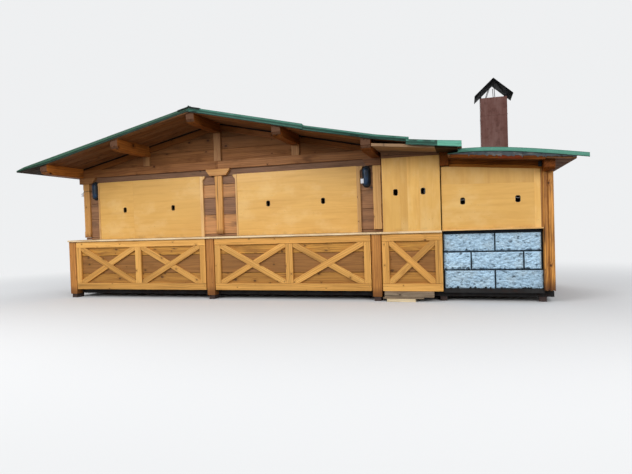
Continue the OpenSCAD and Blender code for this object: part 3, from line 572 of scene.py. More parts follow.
@dataclass(frozen=True)
class Glass:
    """Smoked lamp glass with patches of a painted blue sky reflection."""

    name: str
    body: Rgb
    # The colour of the painted sky reflection
    sky: Rgb

    def material(self) -> bpy.types.Material:
        """Makes the finish's material.

        Returns:
            The material.
        """
        g = Graph(self.name)
        here = g.place()
        dust = g.noise(here, 30.0, 5, 0.7)
        sky_reflection_patch = g.ramp(g.noise(g.stretch(here, (9, 1, 3)), 1.4, 3), 0.42, 0.62)
        # Painted reflection: patches of the sky colour over the glass
        colour = g.mix(g.product(sky_reflection_patch, 0.7), self.body, self.sky)
        colour = g.mix(g.ramp(dust, 0.6, 0.75, (0.0, 0.3)), colour, (0.2, 0.22, 0.24))
        return g.finish(colour, g.ramp(dust, 0.4, 0.7, (0.3, 0.55)), specular=0.3)


Finish = Union[Timber, EndGrain, LayerBoard, PaintedSheet, FoldedTrim, Stone, Glass]


@cache
def material_of(finish: Finish) -> bpy.types.Material:
    """Returns the material of a finish, which is made at its first use."""
    return finish.material()


HONEY = Timber(
    "honey_glazed_frame", (0.86, 0.47, 0.125), (0.55, 0.26, 0.058), (0.36, 0.14, 0.032), (0.74, 0.36, 0.082),
    stain_share=0.1, knots=0.011, knot_share=0.4, spread=0.13, splits=0.35,
)
COUNTER_POST = Timber(
    "red_brown_counter_post", (0.66, 0.3, 0.07), (0.42, 0.165, 0.036), (0.24, 0.085, 0.02), (0.5, 0.2, 0.045),
    stain_share=0.22, knots=0.012, splits=0.6, foot=(0.06, 0.2),
)
WALL_POST = Timber(
    "honey_wall_post", (0.74, 0.4, 0.125), (0.52, 0.24, 0.06), (0.34, 0.14, 0.035), (0.42, 0.18, 0.05),
    stain_share=0.14, knots=0.014, splits=0.8, foot=(1.04, 1.13), spread=0.12,
)
PALE_POST = Timber(
    "pale_wall_post", (0.9, 0.54, 0.2), (0.72, 0.38, 0.12), (0.5, 0.24, 0.08),
    stain_share=0.06, knots=0.012, spread=0.12, splits=0.25,
)
BACK_POST = replace(WALL_POST, name="honey_back_post", foot=(0.19, 0.34))
HEAD = Timber(
    "honey_post_head", (0.62, 0.32, 0.1), (0.42, 0.18, 0.045), (0.25, 0.1, 0.03), (0.3, 0.12, 0.04),
    stain_share=0.14, knots=0.012, spread=0.14,
)
STRUT = Timber(
    "brown_gable_strut", (0.4, 0.2, 0.073), (0.24, 0.1, 0.034), (0.14, 0.055, 0.02),
    stain_share=0.18, knots=0.013, splits=0.4,
)
BACKING = Timber(
    "brown_backing_board", (0.58, 0.285, 0.052), (0.32, 0.135, 0.023), (0.19, 0.075, 0.018),
    (0.36, 0.155, 0.042), stain_share=0.2, knots=0.017, knot_share=0.5, spread=0.2, splits=0.3,
)
WALL = Timber(
    "faded_wall_board", (0.3, 0.155, 0.082), (0.165, 0.08, 0.044), (0.12, 0.07, 0.046), (0.7, 0.33, 0.115),
    stain_share=0.22, knot_share=0.26, knots=0.015, spread=0.24, splits=0.5, roughness=0.62,
)
GABLE = Timber(
    "brown_gable_board", (0.25, 0.104, 0.034), (0.145, 0.054, 0.017), (0.09, 0.032, 0.012),
    (0.3, 0.125, 0.04), stain_share=0.2, knots=0.018, knot_share=0.25, spread=0.3,
    roughness=0.62, shine=0.14,
)
TIE = Timber(
    "brown_glazed_tie", (0.3, 0.122, 0.036), (0.19, 0.066, 0.019), (0.08, 0.028, 0.011), (0.39, 0.17, 0.06),
    stain_share=0.24, knots=0.014, spread=0.14, splits=0.5, shine=0.16,
)
# Its other colour, near black, is the painted shadow on each rafter's top slice
RAFTER = Timber(
    "dark_gable_rafter", (0.29, 0.105, 0.026), (0.17, 0.056, 0.014), (0.07, 0.022, 0.007),
    (0.008, 0.003, 0.001), stain_share=0.24, knots=0.012, shine=0.1,
)
PURLIN = Timber(
    "red_brown_purlin", (0.21, 0.062, 0.012), (0.1, 0.026, 0.005), (0.05, 0.012, 0.003), (0.5, 0.18, 0.035),
    stain_share=0.26, knots=0.014, spread=0.18, splits=0.7, shine=0.1,
)
PURLIN_END = EndGrain("weathered_purlin_end", (0.17, 0.085, 0.048), (0.045, 0.016, 0.007))
SOFFIT = Timber(
    "dark_roof_board", (0.21, 0.088, 0.03), (0.115, 0.044, 0.014), (0.06, 0.022, 0.009), (0.3, 0.145, 0.065),
    stain_share=0.24, knots=0.012, spread=0.2, roughness=0.66, shine=0.12,
)
# Painted shade: a dark copy of the roof boards, for the deck's left overhang and the bay ceiling's end under
# the eaves
DARK_SOFFIT = Timber(
    "shaded_eave_board", (0.05, 0.028, 0.012), (0.026, 0.013, 0.005), (0.012, 0.006, 0.003),
    knots=0.01, roughness=0.7, shine=0.05,
)
PALE = Timber(
    "pale_ceiling_board", (0.3, 0.185, 0.1), (0.2, 0.115, 0.058), (0.12, 0.06, 0.03), (0.34, 0.2, 0.1),
    stain_share=0.2, knots=0.008, knot_share=0.25, spread=0.1, roughness=0.6,
)
COUNTER = Timber(
    "worn_counter_board", (0.5, 0.33, 0.165), (0.33, 0.19, 0.08), (0.2, 0.11, 0.05),
    stain_share=0.25, knots=0.008, spread=0.12,
)
COUNTER_EDGE = Timber(
    "bleached_counter_edge", (0.86, 0.68, 0.43), (0.62, 0.42, 0.22), (0.36, 0.2, 0.09),
    stain_share=0.16, knots=0.006, spread=0.08, splits=0.3,
)
PACKING = Timber(
    "grey_packing_board", (0.36, 0.28, 0.19), (0.22, 0.155, 0.1), (0.12, 0.085, 0.06), (0.78, 0.63, 0.4),
    stain_share=0.26, knots=0.01, spread=0.16, splits=0.8, roughness=0.75,
)
TRIM = Timber(
    "pale_window_trim", (0.84, 0.55, 0.24), (0.62, 0.34, 0.115), (0.4, 0.19, 0.06), (0.5, 0.22, 0.06),
    stain_share=0.14, knots=0.007, spread=0.12,
)
FLOOR = Timber("floor_board", (0.36, 0.2, 0.1), (0.24, 0.12, 0.05), (0.14, 0.08, 0.04))
HEADER = Timber(
    "dark_red_header", (0.27, 0.075, 0.009), (0.125, 0.03, 0.003), (0.045, 0.01, 0.002), (0.46, 0.165, 0.02),
    stain_share=0.26, knots=0.012, spread=0.2, splits=0.6, shine=0.08,
)
FASCIA = Timber(
    "orange_eave_board", (0.17, 0.052, 0.006), (0.075, 0.017, 0.002), (0.035, 0.006, 0.001),
    (0.15, 0.022, 0.006), stain_share=0.26, knots=0.01, spread=0.15, splits=0.6, shine=0.06,
)
ANNEX_POST = Timber(
    "streaked_annex_post", (0.72, 0.31, 0.06), (0.26, 0.08, 0.014), (0.1, 0.026, 0.006), (0.8, 0.42, 0.1),
    stain_share=0.34, knots=0.014, knot_share=0.45, splits=1.0, foot=(0.14, 0.36), spread=0.14,
)
SHUTTER = LayerBoard("yellow_shutter_board", (0.77, 0.45, 0.118), (0.58, 0.285, 0.06), (0.84, 0.57, 0.23))
GREEN = PaintedSheet(
    "green_roof_sheet", (0.035, 0.16, 0.095), (0.1, 0.23, 0.16), (0.03, 0.055, 0.03), 0.35, 0.25, 0.62
)
GREEN_TRIM = FoldedTrim(
    "green_edge_trim", (0.075, 0.22, 0.166), (0.024, 0.08, 0.058), (0.003, 0.006, 0.004), (0.03, 0.075, 0.058)
)
# Painted shadow: near black below the crease, for the shade along the left slope's trims
DARK_TRIM = replace(
    GREEN_TRIM, name="dark_green_edge_trim", upper=(0.045, 0.112, 0.072),
    lower=(0.001, 0.003, 0.001), crease=0.5,
)
BRIGHT_TRIM = replace(GREEN_TRIM, name="bright_green_edge_trim", lower=(0.085, 0.25, 0.18), crease=0.5)
RIDGE = PaintedSheet(
    "dark_ridge_sheet", (0.006, 0.012, 0.009), (0.035, 0.055, 0.046), (0.01, 0.01, 0.008),
    roughness=0.6, shine=0.1,
)
FLUE = PaintedSheet(
    "rust_brown_flue", (0.12, 0.045, 0.035), (0.22, 0.12, 0.105), (0.055, 0.022, 0.018), 0.75, 0.6,
    0.66, (3.0, 3.0, 0.5), 0.3,
)
SOOT = PaintedSheet(
    "sooty_cap", (0.008, 0.008, 0.01), (0.03, 0.03, 0.034), (0.02, 0.01, 0.008), 0.3, 0.2, 0.6, shine=0.12
)
FELT = PaintedSheet(
    "torn_roof_felt", (0.05, 0.052, 0.058), (0.2, 0.21, 0.23), (0.02, 0.018, 0.016), 0.6, 0.5, 0.8,
    (1.0, 1.0, 5.0),
)
FRAYED = PaintedSheet(
    "frayed_felt_edge", (0.05, 0.06, 0.066), (0.3, 0.26, 0.22), (0.02, 0.02, 0.02), 0.5, 0.6, 0.85,
    (3.0, 1.0, 9.0),
)
STEEL = PaintedSheet(
    "dark_base_steel", (0.008, 0.007, 0.007), (0.024, 0.02, 0.018), (0.04, 0.015, 0.009), 0.3, 0.5, 0.75
)
RUST = PaintedSheet(
    "rusty_steel_foot", (0.045, 0.026, 0.022), (0.1, 0.05, 0.035), (0.014, 0.011, 0.011), 0.4, 0.5, 0.7
)
SCREW = PaintedSheet(
    "dull_screw_head", (0.2, 0.11, 0.045), (0.3, 0.2, 0.1), (0.08, 0.035, 0.016), 0.3, 0.4, 0.45
)
LAMP = PaintedSheet(
    "lamp_housing", (0.01, 0.011, 0.013), (0.024, 0.028, 0.034), (0.01, 0.01, 0.01), 0.3, 0.2, 0.7
)
# The second colour is the painted blue sky reflection
LAMP_GLASS = Glass("smoked_lamp_glass", (0.004, 0.012, 0.024), (0.008, 0.05, 0.13))
FITTING = PaintedSheet(
    "white_plastic_fitting", (0.8, 0.82, 0.86), (0.9, 0.9, 0.9), (0.4, 0.38, 0.34), 0.3, 0.2, 0.4
)
LINER = PaintedSheet(
    "black_hole_liner", (0.012, 0.009, 0.007), (0.03, 0.024, 0.02), (0.02, 0.012, 0.008), 0.3, 0.2, 0.5
)
ROCK = Stone("pale_rock_face", (0.525, 0.74, 0.91), (0.3, 0.44, 0.575), (0.15, 0.215, 0.3))
MORTAR = PaintedSheet(
    "dark_stone_joint", (0.012, 0.018, 0.026), (0.03, 0.04, 0.05), (0.01, 0.01, 0.01), 0.3, 0.3, 0.9
)


# Building of meshes


@dataclass(frozen=True)
class RoofLines:
    """The heights of the roofs along the front, as in the part's source."""

    ridge_x: float = 2.83
    ridge_z: float = 2.9653
    bend_left: float = 0.05
    bend_right: float = 5.7
    rise: float = math.tan(math.radians(12.5))
    bay_slope: float = 0.17
    annex_x0: float = 6.661
    annex_x1: float = 8.401
    annex_z0: float = 2.046
    annex_slope: float = 0.086
    annex_board: float = 0.025
    felt_h: float = 0.055
    felt_skew: float = 0.75

    def deck(self, x: float) -> float:
        """Returns the height of the main roof boards' underside."""
        bent = min(max(x, self.bend_left), self.bend_right)
        return self.ridge_z - self.rise * abs(bent - self.ridge_x) - self.bay_slope * abs(x - bent)

    def annex(self, x: float) -> float:
        """Returns the height of the annex roof boards' underside."""
        return self.annex_z0 - self.annex_slope * (x - self.annex_x0)

    def felt(self, x: float) -> float:
        """Returns the height of the annex sheet's underside, which the old felt lifts."""
        share = max(0.0, (x - self.annex_x0) / (self.annex_x1 - self.annex_x0)) ** self.felt_skew
        return self.annex(x) + self.annex_board + self.felt_h * math.sin(math.pi * share)


LINES = RoofLines()


def box(low: Sequence[float], high: Sequence[float]) -> BMesh:
    """Makes a box between two corners.

    Args:
        low: Its lowest corner.
        high: Its highest corner.

    Returns:
        The mesh.
    """
    low, high = Vector(low), Vector(high)
    size = Matrix.Diagonal((*(high - low), 1.0))
    bm = bmesh.new()
    bmesh.ops.create_cube(bm, size=1.0, matrix=Matrix.Translation((low + high) / 2) @ size)
    return bm


def rod(start: Sequence[float], end: Sequence[float], radius: float, segments: int = 10) -> BMesh:
    """Makes a round bar between two points.

    Args:
        start: The middle of its first end.
        end: The middle of its other end.
        radius: Its radius.
        segments: How many sides it has.

    Returns:
        The mesh.
    """
    start, end = Vector(start), Vector(end)
    turn = (end - start).to_track_quat("Z", "Y").to_matrix().to_4x4()
    bm = bmesh.new()
    bmesh.ops.create_cone(
        bm, cap_ends=True, segments=segments, radius1=radius, radius2=radius,
        depth=(end - start).length, matrix=Matrix.Translation((start + end) / 2) @ turn,
    )
    return bm


def oval(middle: Sequence[float], width: float, height: float, front: float, back: float) -> BMesh:
    """Makes an upright plate with round ends.

    Args:
        middle: Its middle's X and Z.
        width: Its width.
        height: Its height.
        front: Its front face's Y.
        back: Its back face's Y.

    Returns:
        The mesh.
    """
    bm = rod((0, back, 0), (0, front, 0), width / 2, 36)
    for vert in bm.verts:
        if abs(vert.co.z) > 0.001:
            vert.co.z += math.copysign((height - width) / 2, vert.co.z)
    bmesh.ops.translate(bm, vec=(middle[0], 0, middle[1]), verts=bm.verts)
    return bm


def placed(name: str, data: bpy.types.ID) -> bpy.types.Object:
    """Adds an object to the scene.

    Args:
        name: Its name.
        data: Its mesh, lamp or camera.

    Returns:
        The object.
    """
    made = bpy.data.objects.new(name, data)
    bpy.context.scene.collection.objects.link(made)
    return made


def cad_solid(node: str) -> BMesh:
    """Copies a CAD node into a merged mesh in the hut's own frame.

    Args:
        node: The node's name.

    Returns:
        The mesh, with its flat faces whole again.
    """
    bm = bmesh.new()
    bm.from_mesh(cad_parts[node].data)
    bmesh.ops.remove_doubles(bm, verts=bm.verts, dist=MERGED)
    bmesh.ops.dissolve_limit(
        bm, angle_limit=math.radians(0.4), use_dissolve_boundaries=False, verts=bm.verts,
        edges=bm.edges,
    )
    bmesh.ops.translate(bm, vec=MID, verts=bm.verts)
    return bm


def islands(whole: BMesh) -> list[BMesh]:
    """Splits a mesh into its loose bodies.

    Args:
        whole: The mesh.

    Returns:
        One mesh for each body.
    """
    whole.verts.ensure_lookup_table()
    whole.verts.index_update()
    left = set(range(len(whole.verts)))
    parts = []
    while left:
        reached = {left.pop()}
        waiting = list(reached)
        while waiting:
            vert = whole.verts[waiting.pop()]
            for edge in vert.link_edges:
                other = edge.other_vert(vert).index
                if other not in reached:
                    reached.add(other)
                    waiting.append(other)
        left -= reached
        part = whole.copy()
        part.verts.index_update()
        others = [v for v in part.verts if v.index not in reached]
        bmesh.ops.delete(part, geom=others, context="VERTS")
        parts.append(part)
    return sorted(parts, key=lambda p: min(tuple(round(c, 3) for c in v.co) for v in p.verts))


def bodies(node: str) -> list[BMesh]:
    """Returns a CAD node's loose bodies, from the left."""
    return islands(cad_solid(node))


def corners(bm: BMesh) -> list[Vector]:
    """Returns the lowest and the highest corner of the box round a mesh."""
    return [Vector([pick(v.co[i] for v in bm.verts) for i in range(3)]) for pick in (min, max)]


def middle(bm: BMesh) -> Vector:
    """Returns the mean of a mesh's points."""
    return sum((v.co for v in bm.verts), Vector()) / len(bm.verts)


def split(
    bm: BMesh, point: Sequence[float], normal: Sequence[float], **settings: bool
) -> dict[str, list[object]]:
    """Adds edges where a plane crosses a mesh and returns the operator's result."""
    return bmesh.ops.bisect_plane(
        bm, geom=[*bm.verts, *bm.edges, *bm.faces], dist=ON_PLANE, plane_co=Vector(point),
        plane_no=Vector(normal), **settings,
    )


def cut(bm: BMesh, point: Sequence[float], normal: Sequence[float]) -> BMesh:
    """Cuts away what lies past a plane, on the side its normal points to, and closes the cut.

    Args:
        bm: The mesh to cut.
        point: A point on the plane.
        normal: The plane's normal.

    Returns:
        The same mesh.
    """
    made = split(bm, point, normal, clear_outer=True)
    edges = [e for e in made["geom_cut"] if isinstance(e, bmesh.types.BMEdge) and e.is_boundary]
    if edges:
        bmesh.ops.holes_fill(bm, edges=edges, sides=0)
    return bm


def between(whole: BMesh, axis: Axis, low: float, high: float) -> BMesh:
    """Returns a mesh's slice between two places along an axis, which may be empty."""
    normal = axis.unit()
    return cut(cut(whole.copy(), normal * high, normal), normal * low, -normal)


def bevel_edges(
    bm: BMesh, edges: Sequence[bmesh.types.BMEdge], width: float, segments: int
) -> None:
    """Bevels edges to a width, with a number of faces across."""
    bmesh.ops.bevel(
        bm, geom=edges, offset=width, offset_type="OFFSET", segments=segments, profile=0.5,
        affect="EDGES", clamp_overlap=True, material=-1,
    )


def soften(bm: BMesh, width: float, segments: int = 1, angle: float = 25.0) -> None:
    """Bevels the sharp edges.

    Args:
        bm: The mesh.
        width: The bevel's width.
        segments: How many faces it has across.
        angle: Edges that turn less than this many degrees stay.
    """
    bmesh.ops.recalc_face_normals(bm, faces=bm.faces)
    limit = math.radians(angle)
    sharp = [e for e in bm.edges if e.is_manifold and e.calc_face_angle(0.0) > limit]
    if sharp and width > 0:
        bevel_edges(bm, sharp, width, segments)


def ragged_foot(bm: BMesh, reach: float, seed: float) -> BMesh:
    """Splits a post's lower end into slivers of uneven length.

    Args:
        bm: The post.
        reach: How far up the shortest sliver ends.
        seed: Where the noise is read.

    Returns:
        The same mesh.
    """
    low, high = corners(bm)
    for axis, count in ((Axis.X, 9), (Axis.Y, 7)):
        for step in range(1, count):
            split(bm, low + (high - low) * step / count, axis.unit())
    for vert in bm.verts:
        if vert.co.z < low.z + 0.001:
            chip = noise.noise(Vector((vert.co.x * 31 + seed, vert.co.y * 31, seed)))
            vert.co.z += reach * max(0.0, min(1.0, 0.5 + 0.9 * chip)) ** 2
    return bm


def sheet_strip(
    ends: tuple[float, float], y: float, low: Height, high: Height,
    folds: Sequence[tuple[float, float]], thick: float = 0.0012, steps: int = 40,
    sway: float = 0.0008,
) -> BMesh:
    """Folds a grid into a strip of edge sheet.

    Args:
        ends: Where it starts and ends along X.
        y: The Y of its flat.
        low: The height of its lower edge at X.
        high: The height of its upper edge at X.
        folds: Its section from the lower edge up: a share of its height and how far it stands forward.
        thick: The sheet's thickness.
        steps: How many faces it has along.
        sway: How far it is dented.

    Returns:
        The mesh, with how far up each point lies as its edge attribute.
    """
    bm = bmesh.new()
    bmesh.ops.create_grid(bm, x_segments=steps, y_segments=len(folds) - 1, size=0.5)
    edge = bm.verts.layers.float.new("edge")
    for vert in bm.verts:
        x = ends[0] + (vert.co.x + 0.5) * (ends[1] - ends[0])
        share, out = folds[round((vert.co.y + 0.5) * (len(folds) - 1))]
        out += sway * noise.noise(Vector((x * 5, share * 3, y)))
        foot, top = low(x), high(x)
        vert[edge] = share
        vert.co = Vector((x, y - math.copysign(out, ROOF_MIDDLE - y), foot + share * (top - foot)))
    bmesh.ops.solidify(bm, geom=[*bm.verts, *bm.edges, *bm.faces], thickness=thick)
    return bm


def raise_by(bm: BMesh, height: Height) -> BMesh:
    """Lifts each point of a mesh by the height at its X.

    Args:
        bm: The mesh.
        height: Gives the height at X.

    Returns:
        The same mesh.
    """
    for vert in bm.verts:
        vert.co.z += height(vert.co.x)
    return bm


def mirrored_y(y: float, back: bool, about: float = ROOF_MIDDLE) -> float:
    """Returns a place on the front edge of a roof, or the same place on its back edge."""
    return 2 * about - y if back else y


def sleeve(low: Sequence[float], high: Sequence[float], rim: float, radius: float) -> BMesh:
    """Makes a flat ring with rounded corners that faces forward.

    Args:
        low: Its lowest corner.
        high: Its highest corner.
        rim: How wide the ring is.
        radius: The radius of its outer corners.

    Returns:
        The mesh.
    """
    bm = box(low, high)
    deep = [e for e in bm.edges if abs(e.verts[0].co.y - e.verts[1].co.y) > 0.0001]
    bevel_edges(bm, deep, radius, 5)
    lids = [f for f in bm.faces if abs(f.normal.y) > 0.9]
    bmesh.ops.inset_individual(bm, faces=lids, thickness=rim, use_even_offset=True)
    edges = list({e for f in lids for e in f.edges})
    bmesh.ops.delete(bm, geom=lids, context="FACES_ONLY")
    bmesh.ops.bridge_loops(bm, edges=edges)
    return bm


def drawn_look(mid: Vector) -> Look:
    """Returns a look whose tint and tone are drawn at random."""
    return None, None


def all_are(number: int) -> Choice:
    """Returns a choice that gives all faces that material."""
    return lambda face: number


def front_is(number: int) -> Choice:
    """Returns a choice that gives faces that look forward that material."""
    return lambda face: number if face.normal.y < -0.7 else 0


def ends_are(number: int) -> Choice:
    """Returns a choice that gives faces that look forward or back that material."""
    return lambda face: number if abs(face.normal.y) > 0.7 else 0


class Piece:
    """A mesh that grows from bodies, each with its own grain and tint."""

    def __init__(self, name: str, seed: int = 1) -> None:
        """Starts an empty piece.

        Args:
            name: The piece's name.
            seed: The seed of its tints and grain places.
        """
        self.name = name
        self.random = random.Random(seed)
        self.bm = bmesh.new()
        self.bm.verts.layers.float_vector.new("grain")
        for name in LAYERS:
            self.bm.verts.layers.float.new(name)

    def add(
        self, body: BMesh, axis: Axis = Axis.X, bevel: float = 0.003, segments: int = 1,
        turn: float = 0.0, tint: Optional[float] = None, tone: Optional[float] = None,
        choice: Optional[Choice] = None, lying: bool = False, edge: Optional[float] = None,
    ) -> None:
        """Adds a body and frees it.

        Args:
            body: The body's mesh.
            axis: The way its grain runs.
            bevel: The width of its softened edges.
            segments: How many faces they have across.
            turn: How far its grain is turned about Y, in radians.
            tint: How light it is from 0 to 1, or drawn at random.
            tone: Its share of the finish's other colour, or drawn at random.
            choice: Picks the material number of each face.
            lying: Whether it is a board that lies flat.
            edge: Its edge attribute all over, or what the body has.
        """
        drawn, other = self.random.random(), self.random.random()
        start = Vector([self.random.uniform(0, reach) for reach in GRAIN_REACH])
        if not body.verts:
            body.free()
            return
        soften(body, bevel, segments)
        body.verts.layers.float_vector.new("grain")
        floats = body.verts.layers.float
        for name in LAYERS:
            if not floats.get(name):
                floats.new(name)
        grain = body.verts.layers.float_vector["grain"]
        tint_layer, tone_layer, edge_layer = (floats[name] for name in LAYERS)
        order = axis.order(lying)
        back = Matrix.Rotation(-turn, 3, "Y")
        low, high = corners(body)
        _, wide, deep = ((high - low)[i] for i in order)
        diagonal = math.pi / 4 if 0.6 < wide / deep < 1.7 else 0.0
        square = Matrix.Rotation(diagonal, 3, "X")
        for vert in body.verts:
            place = back @ vert.co
            vert[grain] = square @ Vector([place[i] for i in order]) + start
            vert[tint_layer] = drawn if tint is None else tint
            vert[tone_layer] = other if tone is None else tone
            if edge is not None:
                vert[edge_layer] = edge
        body.normal_update()
        for face in body.faces:
            face.material_index = choice(face) if choice else 0
        scratch = bpy.data.meshes.new("scratch")
        body.to_mesh(scratch)
        self.bm.from_mesh(scratch)
        bpy.data.meshes.remove(scratch)
        body.free()

    def take(
        self, node: str, axis: Axis, bevel: float = 0.004, segments: int = 2,
        looks: Iterable[Look] = ((None, None),), choice: Optional[Choice] = None,
    ) -> "Piece":
        """Adds a CAD node's bodies as they are, with softened edges.

        Args:
            node: The CAD node.
            axis: The way the grain runs.
            bevel: The width of their softened edges.
            segments: How many faces they have across.
            looks: The tints and tones of the bodies from the left, used in turn.
            choice: Picks the material number of each face.

        Returns:
            This piece.
        """
        for body, (tint, tone) in zip(bodies(node), cycle(looks)):
            self.add(body, axis, bevel, segments, tint=tint, tone=tone, choice=choice)
        return self

    def finish(
        self, finishes: Sequence[Finish], slot: str, replaces: Iterable[str] = (),
        smooth: float = 0.0,
    ) -> None:
        """Makes the object, dresses it and sets it on the hut.

        Args:
            finishes: Its finishes, in the order of its material numbers.
            slot: The record's material slot; it is not used.
            replaces: The CAD nodes it stands for.
            smooth: Faces that meet below this many degrees are shaded smooth.
        """
        bmesh.ops.translate(self.bm, vec=-MID, verts=self.bm.verts)
        mesh = bpy.data.meshes.new(self.name)
        self.bm.to_mesh(mesh)
        self.bm.free()
        for finish in finishes:
            mesh.materials.append(material_of(finish))
        if smooth:
            mesh.shade_smooth()
            mesh.set_sharp_from_angle(angle=math.radians(smooth))
        made = placed(self.name, mesh)
        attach(made, "root")
        for node in replaces:
            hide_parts(node)
        LOG.info("%s: %d faces", self.name, len(mesh.polygons))


@dataclass(frozen=True)
class Rows:
    """Joints between boards at a pitch that varies a little, one of them held."""

    first: float
    pitch: float
    last: float
    spread: float = 0.04
    seed: int = 3
    held: Optional[float] = None

    def joints(self) -> list[float]:
        """Draws the joints.

        Returns:
            Their places.
        """
        draw = random.Random(self.seed)
        places = [self.first]
        while places[-1] < self.last:
            places.append(places[-1] + self.pitch * (1 + draw.uniform(-self.spread, self.spread)))
        if self.held is not None:
            nearest = min(range(len(places)), key=lambda i: abs(places[i] - self.held))
            places[nearest] = self.held
        return places


@dataclass(frozen=True)
class Planking:
    """Turns a slab into a row of separate boards."""

    across: Axis
    along: Axis
    joints: Sequence[float]
    gap: float = 0.003
    bevel: float = 0.003
    lying: bool = False

    def lay(
        self, piece: Piece, slabs: Iterable[BMesh], looks: Callable[[Vector], Look] = drawn_look,
        number: int = 0,
    ) -> Piece:
        """Adds the boards to a piece.

        Args:
            piece: The piece that takes them.
            slabs: The slabs, which are freed.
            looks: Gives a board's tint and tone from its middle.
            number: The boards' material number.

        Returns:
            The piece.
        """
        for slab in slabs:
            for low, high in zip(self.joints, self.joints[1:]):
                strip = between(slab, self.across, low + self.gap / 2, high - self.gap / 2)
                for body in islands(strip) if strip.verts else []:
                    tint, tone = looks(middle(body))
                    piece.add(
                        body, self.along, self.bevel, tint=tint, tone=tone, lying=self.lying,
                        choice=all_are(number),
                    )
            slab.free()
        return piece


# Parts of the hut


@dataclass
class Studio:
    """The plain floor, the soft light and the camera."""

    focal_px: float = 503.4
    width_px: float = 632.0
    yaw: float = 16.71
    pitch: float = -1.16
    roll: float = 1.81
    eye: Vector = field(default_factory=lambda: Vector((6.889, -7.418, 1.138)))
    sensor_mm: float = 36.0
    shown: Rgb = (0.86, 0.87, 0.88)
    sky: Rgb = (0.95, 0.97, 1.0)
    sky_strength: float = 0.62
    floor_seen: Rgb = (0.74, 0.745, 0.75)
    floor_bounce: Rgb = (0.2, 0.195, 0.19)
    floor_half: float = 90.0
    floor_near: float = 3.6
    floor_far: float = 8.0

    def build(self) -> None:
        """Makes the floor, the world, the lamps and the camera."""
        self.floor()
        self.world()
        self.lamps()
        self.camera()

    def floor(self) -> None:
        """Makes the pale floor, which fades into the background away from the hut."""
        mesh = bpy.data.meshes.new("studio_floor")
        bm = bmesh.new()
        bmesh.ops.create_grid(bm, x_segments=1, y_segments=1, size=self.floor_half)
        bm.to_mesh(mesh)
        bm.free()
        g = Graph("studio_floor")
        path = g.node("LightPath")
        seen = g.maths("MAXIMUM", path.outputs["Is Camera Ray"], path.outputs["Is Glossy Ray"])
        seen = g.maths("MAXIMUM", seen, path.outputs["Is Transmission Ray"])
        g.finish(g.mix(seen, self.floor_bounce, self.floor_seen), 0.9, specular=0.0)
        spread = g.stretch(g.place(), (0.72, 1.0, 0.0))
        far = g.vector("LENGTH", spread, output="Value")
        fade = g.product(g.ramp(far, self.floor_near, self.floor_far), seen)
        glow = g.node("Emission")
        g.put(glow.inputs["Color"], self.shown)
        both = g.node("MixShader")
        g.put(both.inputs[0], fade)
        g.links.new(g.shader.outputs[0], both.inputs[1])
        g.links.new(glow.outputs[0], both.inputs[2])
        g.links.new(both.outputs[0], g.nodes["Material Output"].inputs["Surface"])
        mesh.materials.append(g.material)
        placed("studio_floor", mesh)

    def world(self) -> None:
        """Makes the pale surrounding."""
        world = bpy.data.worlds.new("studio_world")
        world.use_nodes = True
        nodes, links = world.node_tree.nodes, world.node_tree.links
        light = nodes["Background"]
        light.inputs["Color"].default_value = (*self.sky, 1.0)
        light.inputs["Strength"].default_value = self.sky_strength
        shown = nodes.new("ShaderNodeBackground")
        shown.inputs["Color"].default_value = (*self.shown, 1.0)
        path = nodes.new("ShaderNodeLightPath")
        pick = nodes.new("ShaderNodeMath")
        pick.operation = "MAXIMUM"
        both = nodes.new("ShaderNodeMixShader")
        links.new(path.outputs["Is Camera Ray"], pick.inputs[0])
        links.new(path.outputs["Is Transmission Ray"], pick.inputs[1])
        for number, source in enumerate((pick, light, shown)):
            links.new(source.outputs[0], both.inputs[number])
        links.new(both.outputs[0], nodes["World Output"].inputs["Surface"])
        bpy.context.scene.world = world

    def lamps(self) -> None:
        """Hangs large soft lamps in front of the hut and behind it."""
        for name, place, aim, size, power in (
            ("key_lamp", (-4.0, -9.0, 6.0), (0.0, 0.0, 1.0), 7.0, 620.0),
            ("fill_lamp", (7.0, -8.0, 4.5), (1.0, 0.0, 1.0), 6.0, 330.0),
            ("back_lamp", (0.0, 9.0, 7.5), (0.0, 0.0, 1.0), 7.0, 500.0),
        ):
            data = bpy.data.lights.new(name, "AREA")
            data.shape = "DISK"
            data.size = size
            data.energy = power
            made = placed(name, data)
            made.location = place
            sight = Vector(aim) - Vector(place)
            made.rotation_euler = sight.to_track_quat("-Z", "Y").to_euler()

    def camera(self) -> None:
        """Sets the camera at the photograph's place and angle."""
        yaw, pitch, roll = (math.radians(v) for v in (self.yaw, self.pitch, self.roll))
        level = math.cos(pitch)
        ahead = Vector((-math.sin(yaw) * level, math.cos(yaw) * level, math.sin(pitch)))
        side = Vector((math.cos(yaw), math.sin(yaw), 0.0))
        over = side.cross(ahead)
        right = side * math.cos(roll) - over * math.sin(roll)
        up = over * math.cos(roll) + side * math.sin(roll)
        data = bpy.data.cameras.new("camera")
        data.sensor_width = self.sensor_mm
        data.lens = self.focal_px / self.width_px * self.sensor_mm
        made = placed("camera", data)
        turned = Matrix((right, up, -ahead)).transposed().to_4x4()
        turned.translation = self.eye - MID
        made.matrix_world = turned
        bpy.context.scene.camera = made


